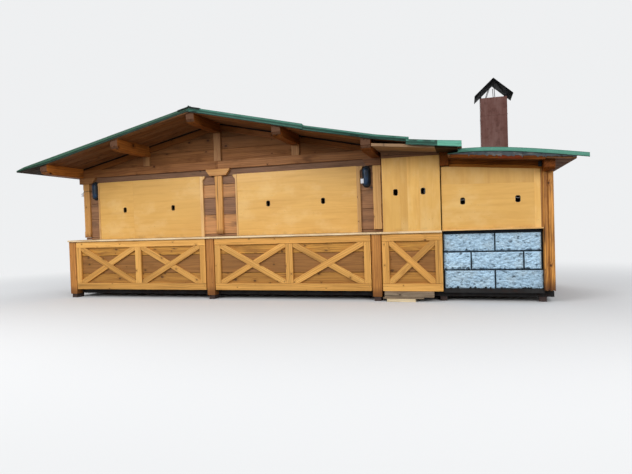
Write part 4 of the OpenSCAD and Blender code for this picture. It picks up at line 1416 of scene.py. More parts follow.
@dataclass
class Base:
    """The steel base, its feet, the packing boards and the floor."""

    pins: tuple[float, ...] = (0.911, 1.846, 3.748, 4.7)
    pin_y: float = 0.047
    pin_ends: tuple[float, float] = (0.108, 0.156)
    pin_radius: float = 0.0045
    # Each packing board's lower and upper side, its tint and its tone
    packing: tuple[tuple[float, float, float, float], ...] = (
        (0.0, 0.0425, 0.8, 1.0), (0.0435, 0.0645, 0.3, 0.1), (0.0655, 0.1515, 0.45, 0.0),
    )
    floor_board: float = 0.14

    def build(self) -> None:
        """Builds and dresses the pieces."""
        steel = Piece("base_frame_steel", 11).take("base_frame", Axis.X)
        low, high = self.pin_ends
        for x in self.pins:
            pin = rod((x, self.pin_y, low), (x, self.pin_y, high), self.pin_radius)
            steel.add(pin, Axis.Z, 0.0)
        steel.finish([STEEL], "steel", ["base_frame"])
        Piece("steel_feet", 12).take("feet", Axis.Z).finish([RUST], "steel", ["feet"])
        packing = Piece("packing_boards_sawn", 13)
        whole = cad_solid("packing_boards")
        for low, high, tint, tone in self.packing:
            packing.add(between(whole, Axis.Z, low, high), Axis.X, 0.003, tint=tint, tone=tone)
        whole.free()
        packing.finish([PACKING], "packing_wood", ["packing_boards"])
        rows = Rows(self.floor_board, self.floor_board, 2.6).joints()
        floor = Planking(Axis.Y, Axis.X, rows, lying=True).lay(Piece("floor_planks", 14), bodies("floor"))
        floor.finish([FLOOR], "floor_wood", ["floor"])


@dataclass
class CounterFront:
    """The counter posts, the cross-braced frames, the boards behind them and the counter board."""

    frames: tuple[tuple[str, float, float, int], ...] = (
        ("counter_frame_left", 0.155, 2.745, 2),
        ("counter_frame_middle", 2.915, 5.505, 2),
        ("counter_frame_right", 5.675, 6.546, 1),
    )
    foot: float = 0.152
    top: float = 1.0
    rail: float = 0.112
    stile: float = 0.104
    middle: float = 0.118
    brace: float = 0.092
    thick: float = 0.035
    brace_set: float = 0.004
    seam: float = 0.0011
    post_tints: tuple[float, ...] = (0.8, 0.55, 0.35)
    backing_joints: tuple[float, ...] = (0.152, 0.434, 0.74, 1.0)
    backing_looks: tuple[Look, ...] = ((0.45, 0.3), (0.35, 0.9), (0.7, 0.0))
    top_joints: tuple[float, ...] = (-0.1, 2.79, 5.6, 7.0)
    top_seam: float = 0.001
    # How far screws stand from a stile's end, inside and outside it, and from its middle line
    screw_in: float = 0.035
    screw_out: float = 0.04
    screw_aside: float = 0.02
    rail_screw: float = 0.018
    screw_radius: float = 0.0042
    screws: list[Vector] = field(default_factory=list)

    def member(self, piece: Piece, x0: float, x1: float, z0: float, z1: float, axis: Axis) -> None:
        """Adds a rail or a stile.

        Args:
            piece: The frame's piece.
            x0: Its left side.
            x1: Its right side.
            z0: Its lower side.
            z1: Its upper side.
            axis: The way its grain runs.
        """
        s = self.seam
        piece.add(box((x0 + s, 0.0, z0 + s), (x1 - s, self.thick, z1 - s)), axis, 0.004, 2)
        if axis is Axis.Z:
            mid = (x0 + x1) / 2
            for x, z in (
                (mid + self.rail_screw, z0 - self.screw_out), (mid - self.screw_aside, z0 + self.screw_in),
                (mid - self.screw_aside, z1 - self.screw_in), (mid + self.rail_screw, z1 + self.screw_out),
            ):
                self.screws.append(Vector((x, 0.0, z)))

    def crossing(self, piece: Piece, x0: float, x1: float, rising_first: bool) -> None:
        """Adds the two braces of a field, one whole and one in two halves.

        Args:
            piece: The frame's piece.
            x0: The field's left side.
            x1: The field's right side.
            rising_first: Whether the brace that rises to the right is the whole one.
        """
        z0, z1 = self.foot + self.rail, self.top - self.rail
        mid = Vector(((x0 + x1) / 2, 0.0, (z0 + z1) / 2))
        angle = math.atan2(z1 - z0, x1 - x0)
        length = math.hypot(x1 - x0, z1 - z0) + 2 * self.brace
        for rising in (True, False):
            lean = angle if rising else -angle
            along = Vector((math.cos(lean), 0, math.sin(lean)))
            over = Vector((-math.sin(lean), 0, math.cos(lean)))
            turn = Matrix.Translation(mid) @ Matrix.Rotation(-lean, 4, "Y")
            end = Vector((length / 2, 0.0, self.brace / 2))
            whole = box(Vector((0, self.brace_set, 0)) - end, Vector((0, self.thick, 0)) + end)
            bmesh.ops.transform(whole, matrix=turn, verts=whole.verts)
            for point, normal in (
                ((x0 + self.seam, 0, 0), (-1, 0, 0)), ((x1 - self.seam, 0, 0), (1, 0, 0)),
                ((0, 0, z0 + self.seam), (0, 0, -1)), ((0, 0, z1 - self.seam), (0, 0, 1)),
            ):
                cut(whole, point, normal)
            for reach in (2.1 * self.brace - 0.5 * length, 0.5 * length - 2.1 * self.brace):
                spot = mid + along * reach + Vector((0, self.brace_set, 0))
                for side in (-1, 1):
                    self.screws.append(spot + over * side * self.screw_aside)
            if rising == rising_first:
                piece.add(whole, Axis.X, 0.004, 2, -lean)
                continue
            across = Vector((math.sin(lean), 0, math.cos(lean)))
            for side in (1, -1):
                half = whole.copy()
                cut(half, mid + across * side * (self.brace / 2 + self.seam), -across * side)
                piece.add(half, Axis.X, 0.004, 2, -lean)
            whole.free()

    def frame(self, node: str, x0: float, x1: float, fields: int, seed: int) -> None:
        """Builds a cross-braced frame.

        Args:
            node: The CAD node it stands for.
            x0: Its left side.
            x1: Its right side.
            fields: How many crossed fields it has.
            seed: The piece's seed.
        """
        piece = Piece(node + "_timber", seed)
        z0, z1 = self.foot + self.rail, self.top - self.rail
        self.member(piece, x0, x1, z1, self.top, Axis.X)
        self.member(piece, x0, x1, self.foot, z0, Axis.X)
        inner = (x1 - x0 - 2 * self.stile - (fields - 1) * self.middle) / fields
        self.member(piece, x0, x0 + self.stile, z0, z1, Axis.Z)
        self.member(piece, x1 - self.stile, x1, z0, z1, Axis.Z)
        for number in range(fields):
            left = x0 + self.stile + number * (inner + self.middle)
            if number:
                self.member(piece, left - self.middle, left, z0, z1, Axis.Z)
            self.crossing(piece, left, left + inner, bool(number))
        piece.finish([HONEY], "frame_wood", [node])

    def build(self) -> None:
        """Builds and dresses the pieces."""
        looks = [(tint, None) for tint in self.post_tints]
        posts = Piece("counter_posts_timber", 21).take("counter_posts", Axis.Z, 0.002, 1, looks)
        posts.finish([COUNTER_POST], "post_wood", ["counter_posts"])
        for number, (node, x0, x1, fields) in enumerate(self.frames):
            self.frame(node, x0, x1, fields, 22 + number)
        screws = Piece("frame_screw_heads", 28)
        for spot in self.screws:
            ends = (spot + Vector((0, 0.001, 0)), spot - Vector((0, 0.0012, 0)))
            screws.add(rod(*ends, self.screw_radius, 8), Axis.X, 0.0)
        screws.finish([SCREW], "steel")
        backing = Piece("counter_backing_boards", 26)
        Planking(Axis.Z, Axis.X, self.backing_joints, 0.006).lay(
            backing, bodies("counter_boards"),
            lambda mid: self.backing_looks[bisect(self.backing_joints, mid.z) - 1],
        )
        backing.finish([BACKING], "backing_wood", ["counter_boards"])
        top = Piece("counter_board_worn", 27)
        whole = cad_solid("counter_top")
        for low, high in zip(self.top_joints, self.top_joints[1:]):
            board = between(whole, Axis.X, low + self.top_seam / 2, high - self.top_seam / 2)
            top.add(board, Axis.X, 0.004, 2, choice=front_is(1), lying=True)
        whole.free()
        top.finish([COUNTER, COUNTER_EDGE], "counter_wood", ["counter_top"])


@dataclass
class TimberFrame:
    """The wall posts with their heads, the tie beams, struts, rafters and purlins."""

    head_z: float = 2.0657
    # How deep the painted shadow at the top of each rafter is
    shadow_gap_h: float = 0.024
    # Each post's tint, tone and number of its finish
    post_looks: tuple[tuple[float, float, int], ...] = (
        (0.5, 0.25, 0), (0.65, 0.0, 0), (0.5, 0.0, 1), (0.4, 0.6, 0),
    )
    head_looks: tuple[Look, ...] = ((0.3, 0.7), (0.7, 0.1), (0.1, 1.0), (0.3, 0.7))
    # Each tie length's start and end, its tint and its tone
    ties: tuple[tuple[float, float, float, float], ...] = ((0.0, 2.83, 0.55, 0.3), (2.83, 6.0, 0.7, 0.9))
    tie_seam: float = 0.0016
    purlin_tones: tuple[float, ...] = (1.0, 0.6, 0.1, 0.1)
    ridge_tone: float = 0.2

    def posts(self, node: str, name: str, finishes: Sequence[Finish], seed: int) -> None:
        """Adds a row of posts, each with a head whose grain lies along the front.

        Args:
            node: The CAD node.
            name: The piece's name.
            finishes: The posts' finishes.
            seed: The piece's seed.
        """
        piece, heads = Piece(name, seed), Piece(name + "_heads", seed + 40)
        for body, post_look, head_look in zip(bodies(node), self.post_looks, self.head_looks):
            tint, tone, number = post_look
            post = between(body, Axis.Z, 0.0, self.head_z)
            piece.add(post, Axis.Z, 0.003, tint=tint, tone=tone, choice=all_are(number))
            tint, tone = head_look
            head = between(body, Axis.Z, self.head_z, 3.0)
            heads.add(head, Axis.X, 0.003, 2, tint=tint, tone=tone)
            body.free()
        piece.finish(finishes, "wall_post_wood", [node])
        heads.finish([HEAD], "wall_post_wood")

    def tie_beams(self) -> None:
        """Adds the tie beams, jointed over the middle posts."""
        piece = Piece("tie_beams_timber", 33)
        for body in bodies("tie_beams"):
            for low, high, tint, tone in self.ties:
                beam = between(body, Axis.X, low + self.tie_seam / 2, high - self.tie_seam / 2)
                piece.add(beam, Axis.X, 0.005, 2, tint=tint, tone=tone)
            body.free()
        piece.finish([TIE], "beam_wood", ["tie_beams"])

    def rafters(self) -> None:
        """Adds the gable rafters, each with a near-black top slice that is painted shadow, for the gap below
        the roof boards.
        """
        piece = Piece("gable_rafters_timber", 35)
        for body in bodies("gable_rafters"):
            x = middle(body).x
            turn = math.atan(math.copysign(LINES.rise, LINES.ridge_x - x))
            point = (x, 0, LINES.deck(x) - self.shadow_gap_h)
            normal = Vector((-math.sin(turn), 0, math.cos(turn)))
            # Painted shadow: the top slice takes the near-black other colour
            piece.add(cut(body.copy(), point, -normal), Axis.X, 0.001, turn=-turn, tint=0.0, tone=1.0)
            piece.add(cut(body, point, normal), Axis.X, 0.005, 2, turn=-turn, tone=0.0)
        piece.finish([RAFTER], "beam_wood", ["gable_rafters"])

    def purlins(self) -> None:
        """Adds the ridge purlin and the side purlins with their weathered ends."""
        for node, seed, tones in (
            ("ridge_purlin", 36, (self.ridge_tone,)), ("side_purlins", 37, self.purlin_tones),
        ):
            looks = [(None, tone) for tone in tones]
            piece = Piece(node + "_timber", seed).take(node, Axis.Y, looks=looks, choice=ends_are(1))
            piece.finish([PURLIN, PURLIN_END], "purlin_wood", [node])

    def build(self) -> None:
        """Builds and dresses the pieces."""
        self.posts("front_posts", "front_posts_timber", [WALL_POST, PALE_POST], 31)
        self.posts("back_posts", "back_posts_timber", [BACK_POST, BACK_POST], 32)
        self.tie_beams()
        struts = Piece("gable_struts_timber", 34).take("gable_struts", Axis.Z)
        struts.finish([STRUT], "wall_post_wood", ["gable_struts"])
        self.rafters()
        self.purlins()


@dataclass
class BoardWalls:
    """The boarded walls, gables and door."""

    joints: tuple[float, ...] = (1.03, 1.07, 1.4, 1.69, 1.92, 2.06, 2.3)
    looks: tuple[Look, ...] = (
        (0.4, 0.2), (0.62, 0.75), (0.5, 0.0), (0.6, 0.62), (0.45, 0.0), (0.15, 0.0),
    )
    # The front wall's middle part, and the boards' looks on either side of it
    middle_part: tuple[float, float] = (0.5, 5.0)
    left_look: Look = (0.42, 0.16)
    right_look: Look = (0.5, 0.22)
    right_tone: float = 0.3
    gable_joints: tuple[float, ...] = (2.3, 2.52, 2.72, 2.95)
    handle: tuple[float, float] = (6.42, 1.08)
    door_head: float = 1.956

    def front_look(self, mid: Vector) -> Look:
        """Picks the look of a front wall board.

        Args:
            mid: The board's middle.

        Returns:
            Its tint and tone.
        """
        start, end = self.middle_part
        if mid.x < start:
            return self.left_look
        if mid.x > end:
            return (self.right_look[0], self.right_tone) if 1.4 < mid.z < 1.7 else self.right_look
        return self.looks[bisect(self.joints, mid.z) - 1]

    def door(self) -> None:
        """Builds the boarded back door with its lever."""
        rows = Rows(5.705, 0.137, 6.6, 0.0).joints()
        door = Planking(Axis.X, Axis.Z, rows).lay(Piece("back_door_planks", 48), bodies("back_door"))
        door.finish([WALL], "wall_wood", ["back_door"])
        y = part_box("back_door")[1][1] + MID.y
        x, z = self.handle
        lever = Piece("door_lever", 49)
        lever.add(box((x - 0.02, y, z - 0.1), (x + 0.02, y + 0.004, z + 0.1)), Axis.Z, 0.0015)
        lever.add(rod((x, y + 0.004, z), (x, y + 0.045, z), 0.009, 14), Axis.Z, 0.0015)
        lever.add(rod((x + 0.009, y + 0.04, z), (x - 0.11, y + 0.04, z), 0.008, 14), Axis.Z, 0.003, 2)
        lever.finish([STEEL], "steel", smooth=40)

    def build(self) -> None:
        """Builds and dresses the pieces."""
        # Painted shade: the gable boards are darker the higher they lie, under the roof
        gable = Planking(Axis.Z, Axis.X, self.gable_joints).lay(
            Piece("gable_planks", 41), bodies("gable_boards"),
            lambda mid: (max(0.1, 0.9 - 2.0 * (mid.z - 2.4)), None),
        )
        gable.finish([GABLE], "gable_wood", ["gable_boards"])
        front = Planking(Axis.Z, Axis.X, self.joints, 0.006).lay(
            Piece("front_wall_planks", 42), bodies("front_wall"), self.front_look
        )
        front.finish([WALL], "wall_wood", ["front_wall"])
        for node, seed, along, held in (
            ("left_wall", 43, Axis.Y, None), ("right_wall", 44, Axis.Y, None),
            ("back_wall", 45, Axis.X, self.door_head), ("bay_cheek", 46, Axis.X, None),
        ):
            rows = Rows(0.176, 0.2, 2.5, held=held).joints()
            wall = Planking(Axis.Z, along, rows).lay(
                Piece(node + "_planks", seed), bodies(node),
                lambda mid: (None, 0.3 * abs(math.sin(17 * mid.z))),
            )
            wall.finish([WALL], "wall_wood", [node])
        self.door()


@dataclass
class Shutters:
    """The four shutters with their hand holes, the trims beside them and the wall lamps."""

    hole: tuple[float, float] = (0.056, 0.086)
    rim: float = 0.005
    liner_corner: float = 0.024
    # The Y of the board and the X and Z of each hand hole in the two narrow shutters
    holes: tuple[tuple[float, float, float], ...] = (
        (0.0, 5.9, 1.605), (0.0, 6.296, 1.605), (0.03, 6.841, 1.438), (0.03, 7.571, 1.438),
    )
    # Each slice's start and end, its grain, its tint and its tone
    boards: tuple[tuple[str, int, tuple[Slice, ...]], ...] = (
        ("shutter_left", 51, ((0.0, 1.112, Axis.X, 0.52, 0.05), (1.112, 3.0, Axis.X, 0.44, 0.12))),
        ("shutter_middle", 52, ((3.0, 6.0, Axis.X, 0.56, 0.0),)),
        ("shutter_narrow", 53, (
            (5.6, 5.97, Axis.Z, 0.42, 0.1), (5.97, 6.071, Axis.Z, 0.3, 0.25),
            (6.071, 6.243, Axis.Z, 0.62, 0.0), (6.243, 6.6, Axis.Z, 0.46, 0.08),
        )),
    )
    grill_edge: float = 7.782
    bevel: float = 0.0012
    grime_h: float = 0.09
    wide: tuple[tuple[str, float, float], ...] = (
        ("shutter_left", 0.385, 2.083), ("shutter_middle", 3.175, 2.064),
    )
    trim_looks: tuple[Look, ...] = ((0.5, 0.4), (0.6, 0.0), (0.5, 0.2), (0.2, 0.4))
    lamps: tuple[tuple[float, float], ...] = ((0.2925, 1.93), (5.396, 1.9))
    lamp_screw: float = 0.145
    wall_y: float = 0.42

    def board(self, node: str, seed: int, slices: Sequence[Slice]) -> None:
        """Builds a shutter from its glued boards.

        Args:
            node: The CAD node it stands for.
            seed: The piece's seed.
            slices: Its boards.
        """
        piece = Piece(node + "_board", seed)
        whole = cad_solid(node)
        for low, high, along, tint, tone in slices:
            piece.add(between(whole, Axis.X, low, high), along, self.bevel, tint=tint, tone=tone)
        whole.free()
        self.grime(piece)
        piece.finish([SHUTTER], "shutter_wood", [node])

    def grime(self, piece: Piece) -> None:
        """Marks the lower edge of a shutter, where its splash dirt sits.

        Args:
            piece: The shutter's piece.
        """
        edge = piece.bm.verts.layers.float["edge"]
        low = min(v.co.z for v in piece.bm.verts)
        for height in (self.grime_h / 3, self.grime_h):
            split(piece.bm, (0, 0, low + height), (0, 0, 1))
        for vert in piece.bm.verts:
            vert[edge] = max(0.0, 1.0 - (vert.co.z - low) / self.grime_h)

    def grill(self) -> None:
        """Builds the grill shutter: a board, a strip of upright grain over it and a pale edge."""
        piece = Piece("shutter_grill_board", 54)
        whole = cad_solid("shutter_grill")
        joint, lean = Vector((6.55, 0, 1.686)), Vector((0.0272, 0, 1.0)).normalized()
        body = between(whole, Axis.X, 6.0, self.grill_edge)
        edge = between(whole, Axis.X, self.grill_edge, 8.0)
        piece.add(cut(body.copy(), joint, lean), Axis.X, self.bevel, tint=0.5, tone=0.1)
        piece.add(cut(body, joint, -lean), Axis.Z, self.bevel, tint=0.36, tone=0.3)
        piece.add(edge, Axis.Z, self.bevel, tint=0.8, tone=0.0)
        whole.free()
        self.grime(piece)
        piece.finish([SHUTTER], "shutter_wood", ["shutter_grill"])

    def liners(self) -> None:
        """Rings each hand hole with a thin black liner."""
        piece = Piece("hand_hole_liners", 58)
        places = list(self.holes)
        for node, x0, width in self.wide:
            low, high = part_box(node)
            for share in self.shares(node):
                places.append((self.wall_y - 0.027, x0 + share * width, (low[2] + high[2]) / 2))
        w, h = (side / 2 + self.rim for side in self.hole)
        for y, x, z in places:
            ring = sleeve(
                (x - w, y - 0.0015, z - h), (x + w, y + 0.02, z + h), self.rim + 0.0002,
                self.liner_corner,
            )
            piece.add(ring, Axis.X, 0.0)
        piece.finish([LINER], "shutter_wood")

    def shares(self, node: str) -> list[float]:
        """Finds the hand holes of a wide shutter.

        Args:
            node: The shutter's CAD node.

        Returns:
            Where they are, as shares of its width.
        """
        bm = cad_solid(node)
        low, high = corners(bm)
        mid = (low + high) / 2
        rims = [v.co.x for v in bm.verts if abs(v.co.z - mid.z) < 0.06]
        bm.free()
        groups = [x for x in rims if x < mid.x], [x for x in rims if x > mid.x]
        return [((min(g) + max(g)) / 2 - low.x) / (high.x - low.x) for g in groups]

    def wall_lamps(self) -> None:
        """Builds the two oval lamps, each a plate, a housing and smoked glass."""
        housing, glass = Piece("wall_lamp_housings", 57), Piece("wall_lamp_glasses", 59)
        plate_y, face_y = self.wall_y - 0.016, self.wall_y - 0.05
        for x, z in self.lamps:
            housing.add(oval((x, z), 0.138, 0.338, plate_y, self.wall_y), Axis.Z, 0.003, 2)
            housing.add(oval((x, z), 0.118, 0.318, face_y, plate_y), Axis.Z, 0.012, 3)
            dome = bmesh.new()
            bmesh.ops.create_uvsphere(dome, u_segments=32, v_segments=17, radius=0.045)
            for vert in dome.verts:
                vert.co.y *= 0.55
                vert.co.z += math.copysign(0.09, vert.co.z)
            bmesh.ops.translate(dome, vec=(x, face_y, z), verts=dome.verts)
            glass.add(cut(dome, (0, face_y + 0.002, 0), (0, 1, 0)), Axis.Z, 0.0)
            for height in (z - self.lamp_screw, z + self.lamp_screw):
                head = rod((x, face_y, height), (x, face_y - 0.003, height), 0.006)
                housing.add(head, Axis.Z, 0.0)
        housing.finish([LAMP], "lamp", ["wall_lamps"], 35)
        glass.finish([LAMP_GLASS], "lamp", smooth=60)

    def fittings(self) -> None:
        """Adds the small white fittings by the lamps, with the clipped wire of the left one."""
        piece = Piece("white_lamp_fittings", 60)
        piece.add(box((5.312, 0.352, 1.793), (5.364, 0.385, 1.868)), Axis.Z, 0.006, 3)
        piece.add(box((-0.014, 0.375, 1.84), (0.03, 0.41, 1.9)), Axis.Z, 0.006, 3)
        piece.finish([FITTING], "lamp", smooth=40)
        wire = Piece("clipped_lamp_wire", 61)
        path = (
            (0.024, 0.377, 1.895), (0.05, 0.376, 1.925), (0.12, 0.376, 1.93), (0.175, 0.377, 1.934),
            (0.225, 0.409, 1.936),
        )
        for start, end in zip(path, path[1:]):
            wire.add(rod(start, end, 0.0036, 8), Axis.X, 0.0)
        wire.finish([LAMP], "lamp", smooth=60)

    def build(self) -> None:
        """Builds and dresses the pieces."""
        for node, seed, slices in self.boards:
            self.board(node, seed, slices)
        self.grill()
        self.liners()
        trims = Piece("window_trims", 56).take("window_jambs", Axis.Z, 0.003, looks=self.trim_looks)
        trims.finish([TRIM], "trim_wood", ["window_jambs"])
        self.wall_lamps()
        self.fittings()


@dataclass(frozen=True)
class TrimLength:
    """A length of edge trim: its layer, ends, edges at both ends, tint, tone and finish."""

    layer: int
    x0: float
    x1: float
    first: tuple[float, float]
    last: tuple[float, float]
    tint: float
    tone: float
    finish: int = 0

    def height(self, x: float, side: int) -> float:
        """Returns the height of its lower edge, side 0, or its upper edge, side 1."""
        share = (x - self.x0) / (self.x1 - self.x0)
        return LINES.deck(x) + self.first[side] + share * (self.last[side] - self.first[side])


@dataclass
class Roof:
    """The roof boards, the green sheets, the edge trims and the ridge cap."""

    section: tuple[tuple[float, float], ...] = (
        (0.0, 0.0035), (0.05, 0.003), (0.13, 0.0), (0.34, 0.0002), (0.46, 0.0006), (0.5, 0.0034),
        (0.54, 0.0006), (0.72, 0.0004), (0.9, 0.0), (0.97, -0.002), (1.0, -0.006),
    )
    lengths: tuple[TrimLength, ...] = (
        TrimLength(0, -0.58, -0.406, (0.0, 0.026), (0.0, 0.0546), 0.34, 0.2, 1),
        TrimLength(0, -0.406, 0.05, (0.0, 0.0546), (-0.0078, 0.078), 0.34, 0.2, 1),
        TrimLength(0, 0.05, 1.37, (-0.0078, 0.078), (0.004, 0.078), 0.38, 0.2, 1),
        TrimLength(1, 1.33, 2.83, (0.004, 0.077), (0.014, 0.077), 0.34, 0.25, 1),
        # Painted shadow: a dark strip behind the right slope's trims, for the gap under them
        TrimLength(0, 2.83, 6.85, (0.0, 0.026), (0.0, 0.026), 0.0, 1.0, 1),
        TrimLength(1, 2.79, 4.66, (0.0078, 0.078), (-0.0195, 0.064), 0.36, 0.2),
        TrimLength(0, 4.62, 6.165, (-0.0273, 0.0437), (0.0, 0.064), 0.38, 0.2),
        TrimLength(1, 6.125, 6.54, (-0.0429, 0.0312), (-0.0234, 0.0546), 0.36, 1.0),
        TrimLength(1, 6.54, 6.85, (-0.0234, 0.0546), (-0.0078, 0.078), 0.95, 0.05, 2),
    )
    trim_y: float = -0.5012
    layer_step: float = 0.006
    trim_step: float = 0.07
    # The fold that the sheets' edge makes over the trims: its ends, its Y and its height
    folds: tuple[tuple[float, float], ...] = ((0.05, 2.83), (2.83, 4.66))
    fold_y: tuple[float, float] = (-0.5, -0.44)
    fold_z: tuple[float, float] = (0.034, 0.059)
    deck_rows: Rows = Rows(-0.52, 0.14, 3.0)
    ceiling_rows: tuple[float, ...] = (-0.5, 0.12, 0.9, 2.6)
    ceiling_joint: float = 6.5

    def edge_trims(self) -> None:
        """Folds the green trims of both roof edges, length by length."""
        piece = Piece("verge_trims_folded", 66)
        for back in (False, True):
            for trim in self.lengths:
                strip = sheet_strip(
                    (trim.x0, trim.x1), mirrored_y(self.trim_y - self.layer_step * trim.layer, back),
                    partial(trim.height, side=0), partial(trim.height, side=1), self.section,
                    steps=max(4, round((trim.x1 - trim.x0) / self.trim_step)),
                )
                choice = all_are(trim.finish)
                piece.add(strip, Axis.X, 0.0, tint=trim.tint, tone=trim.tone, choice=choice)
            near, far = sorted(mirrored_y(y, back) for y in self.fold_y)
            for x0, x1 in self.folds:
                fold = box((x0, near, self.fold_z[0]), (x1, far, self.fold_z[1]))
                piece.add(raise_by(fold, LINES.deck), Axis.X, 0.002, tint=0.3, tone=0.4, edge=0.6)
        piece.finish([GREEN_TRIM, DARK_TRIM, BRIGHT_TRIM], "trim_green", ["verge_trims"], 30)

    def boards(
        self, piece: Piece, node: str, planking: Planking, joints: Sequence[float],
        looks: Callable[[Vector], Look] = drawn_look,
    ) -> Piece:
        """Lays boards in lengths with a finish each.

        Args:
            piece: The piece that takes them.
            node: The CAD node.
            planking: How they are laid.
            joints: Where the first length starts, and where each ends.
            looks: Gives a board's tint and tone from its middle.

        Returns:
            The piece.
        """
        for number, (low, high) in enumerate(zip(joints, joints[1:])):
            slabs = [between(body, Axis.X, *sorted((low, high))) for body in bodies(node)]
            planking.lay(piece, [slab for slab in slabs if slab.verts], looks, number)
        return piece

    def build(self) -> None:
        """Builds and dresses the pieces."""
        planking = Planking(Axis.Y, Axis.X, self.deck_rows.joints(), 0.003, 0.002, True)
        for node, seed in (("roof_deck_left", 61), ("roof_deck_right", 62)):
            # Boards left of the left bend take the painted shade of the dark eave boards
            deck = self.boards(
                Piece(node + "_planks", seed), node, planking, (9.0, LINES.bend_left, -1.0),
                lambda mid: (None, 0.8 * abs(math.sin(11 * mid.y)) ** 3),
            )
            deck.finish([SOFFIT, DARK_SOFFIT], "deck_wood", [node])
        # Past the ceiling joint the bay ceiling's boards take painted shade
        ceiling = self.boards(
            Piece("bay_ceiling_boards", 64), "bay_ceiling",
            Planking(Axis.Y, Axis.X, self.ceiling_rows, 0.004, lying=True), (5.0, self.ceiling_joint, 7.0),
        )
        ceiling.finish([PALE, DARK_SOFFIT], "ceiling_wood", ["bay_ceiling"])
        for node, seed, finish, slot in (
            ("roof_sheet_left", 65, GREEN, "roof_green"), ("roof_sheet_right", 66, GREEN, "roof_green"),
            ("ridge_cap", 67, RIDGE, "ridge_dark"),
        ):
            sheet = Piece(node + "_metal", seed).take(node, Axis.X, 0.0015, 1)
            sheet.finish([finish], slot, [node])
        self.edge_trims()


@dataclass(frozen=True)
class FeltFlap:
    """A frayed flap of old felt: its number, its ends and how far it hangs down."""

    number: int
    x0: float
    x1: float
    drop: float

    def torn(self, x: float) -> float:
        """Returns the height of its ragged lower edge."""
        rag = noise.fractal(Vector((x * 21, self.number * 3.7, 0.0)), 0.7, 2.2, 5)
        return LINES.annex(x) + LINES.annex_board + 0.004 - self.drop * max(0.0, 0.35 + 1.1 * rag)


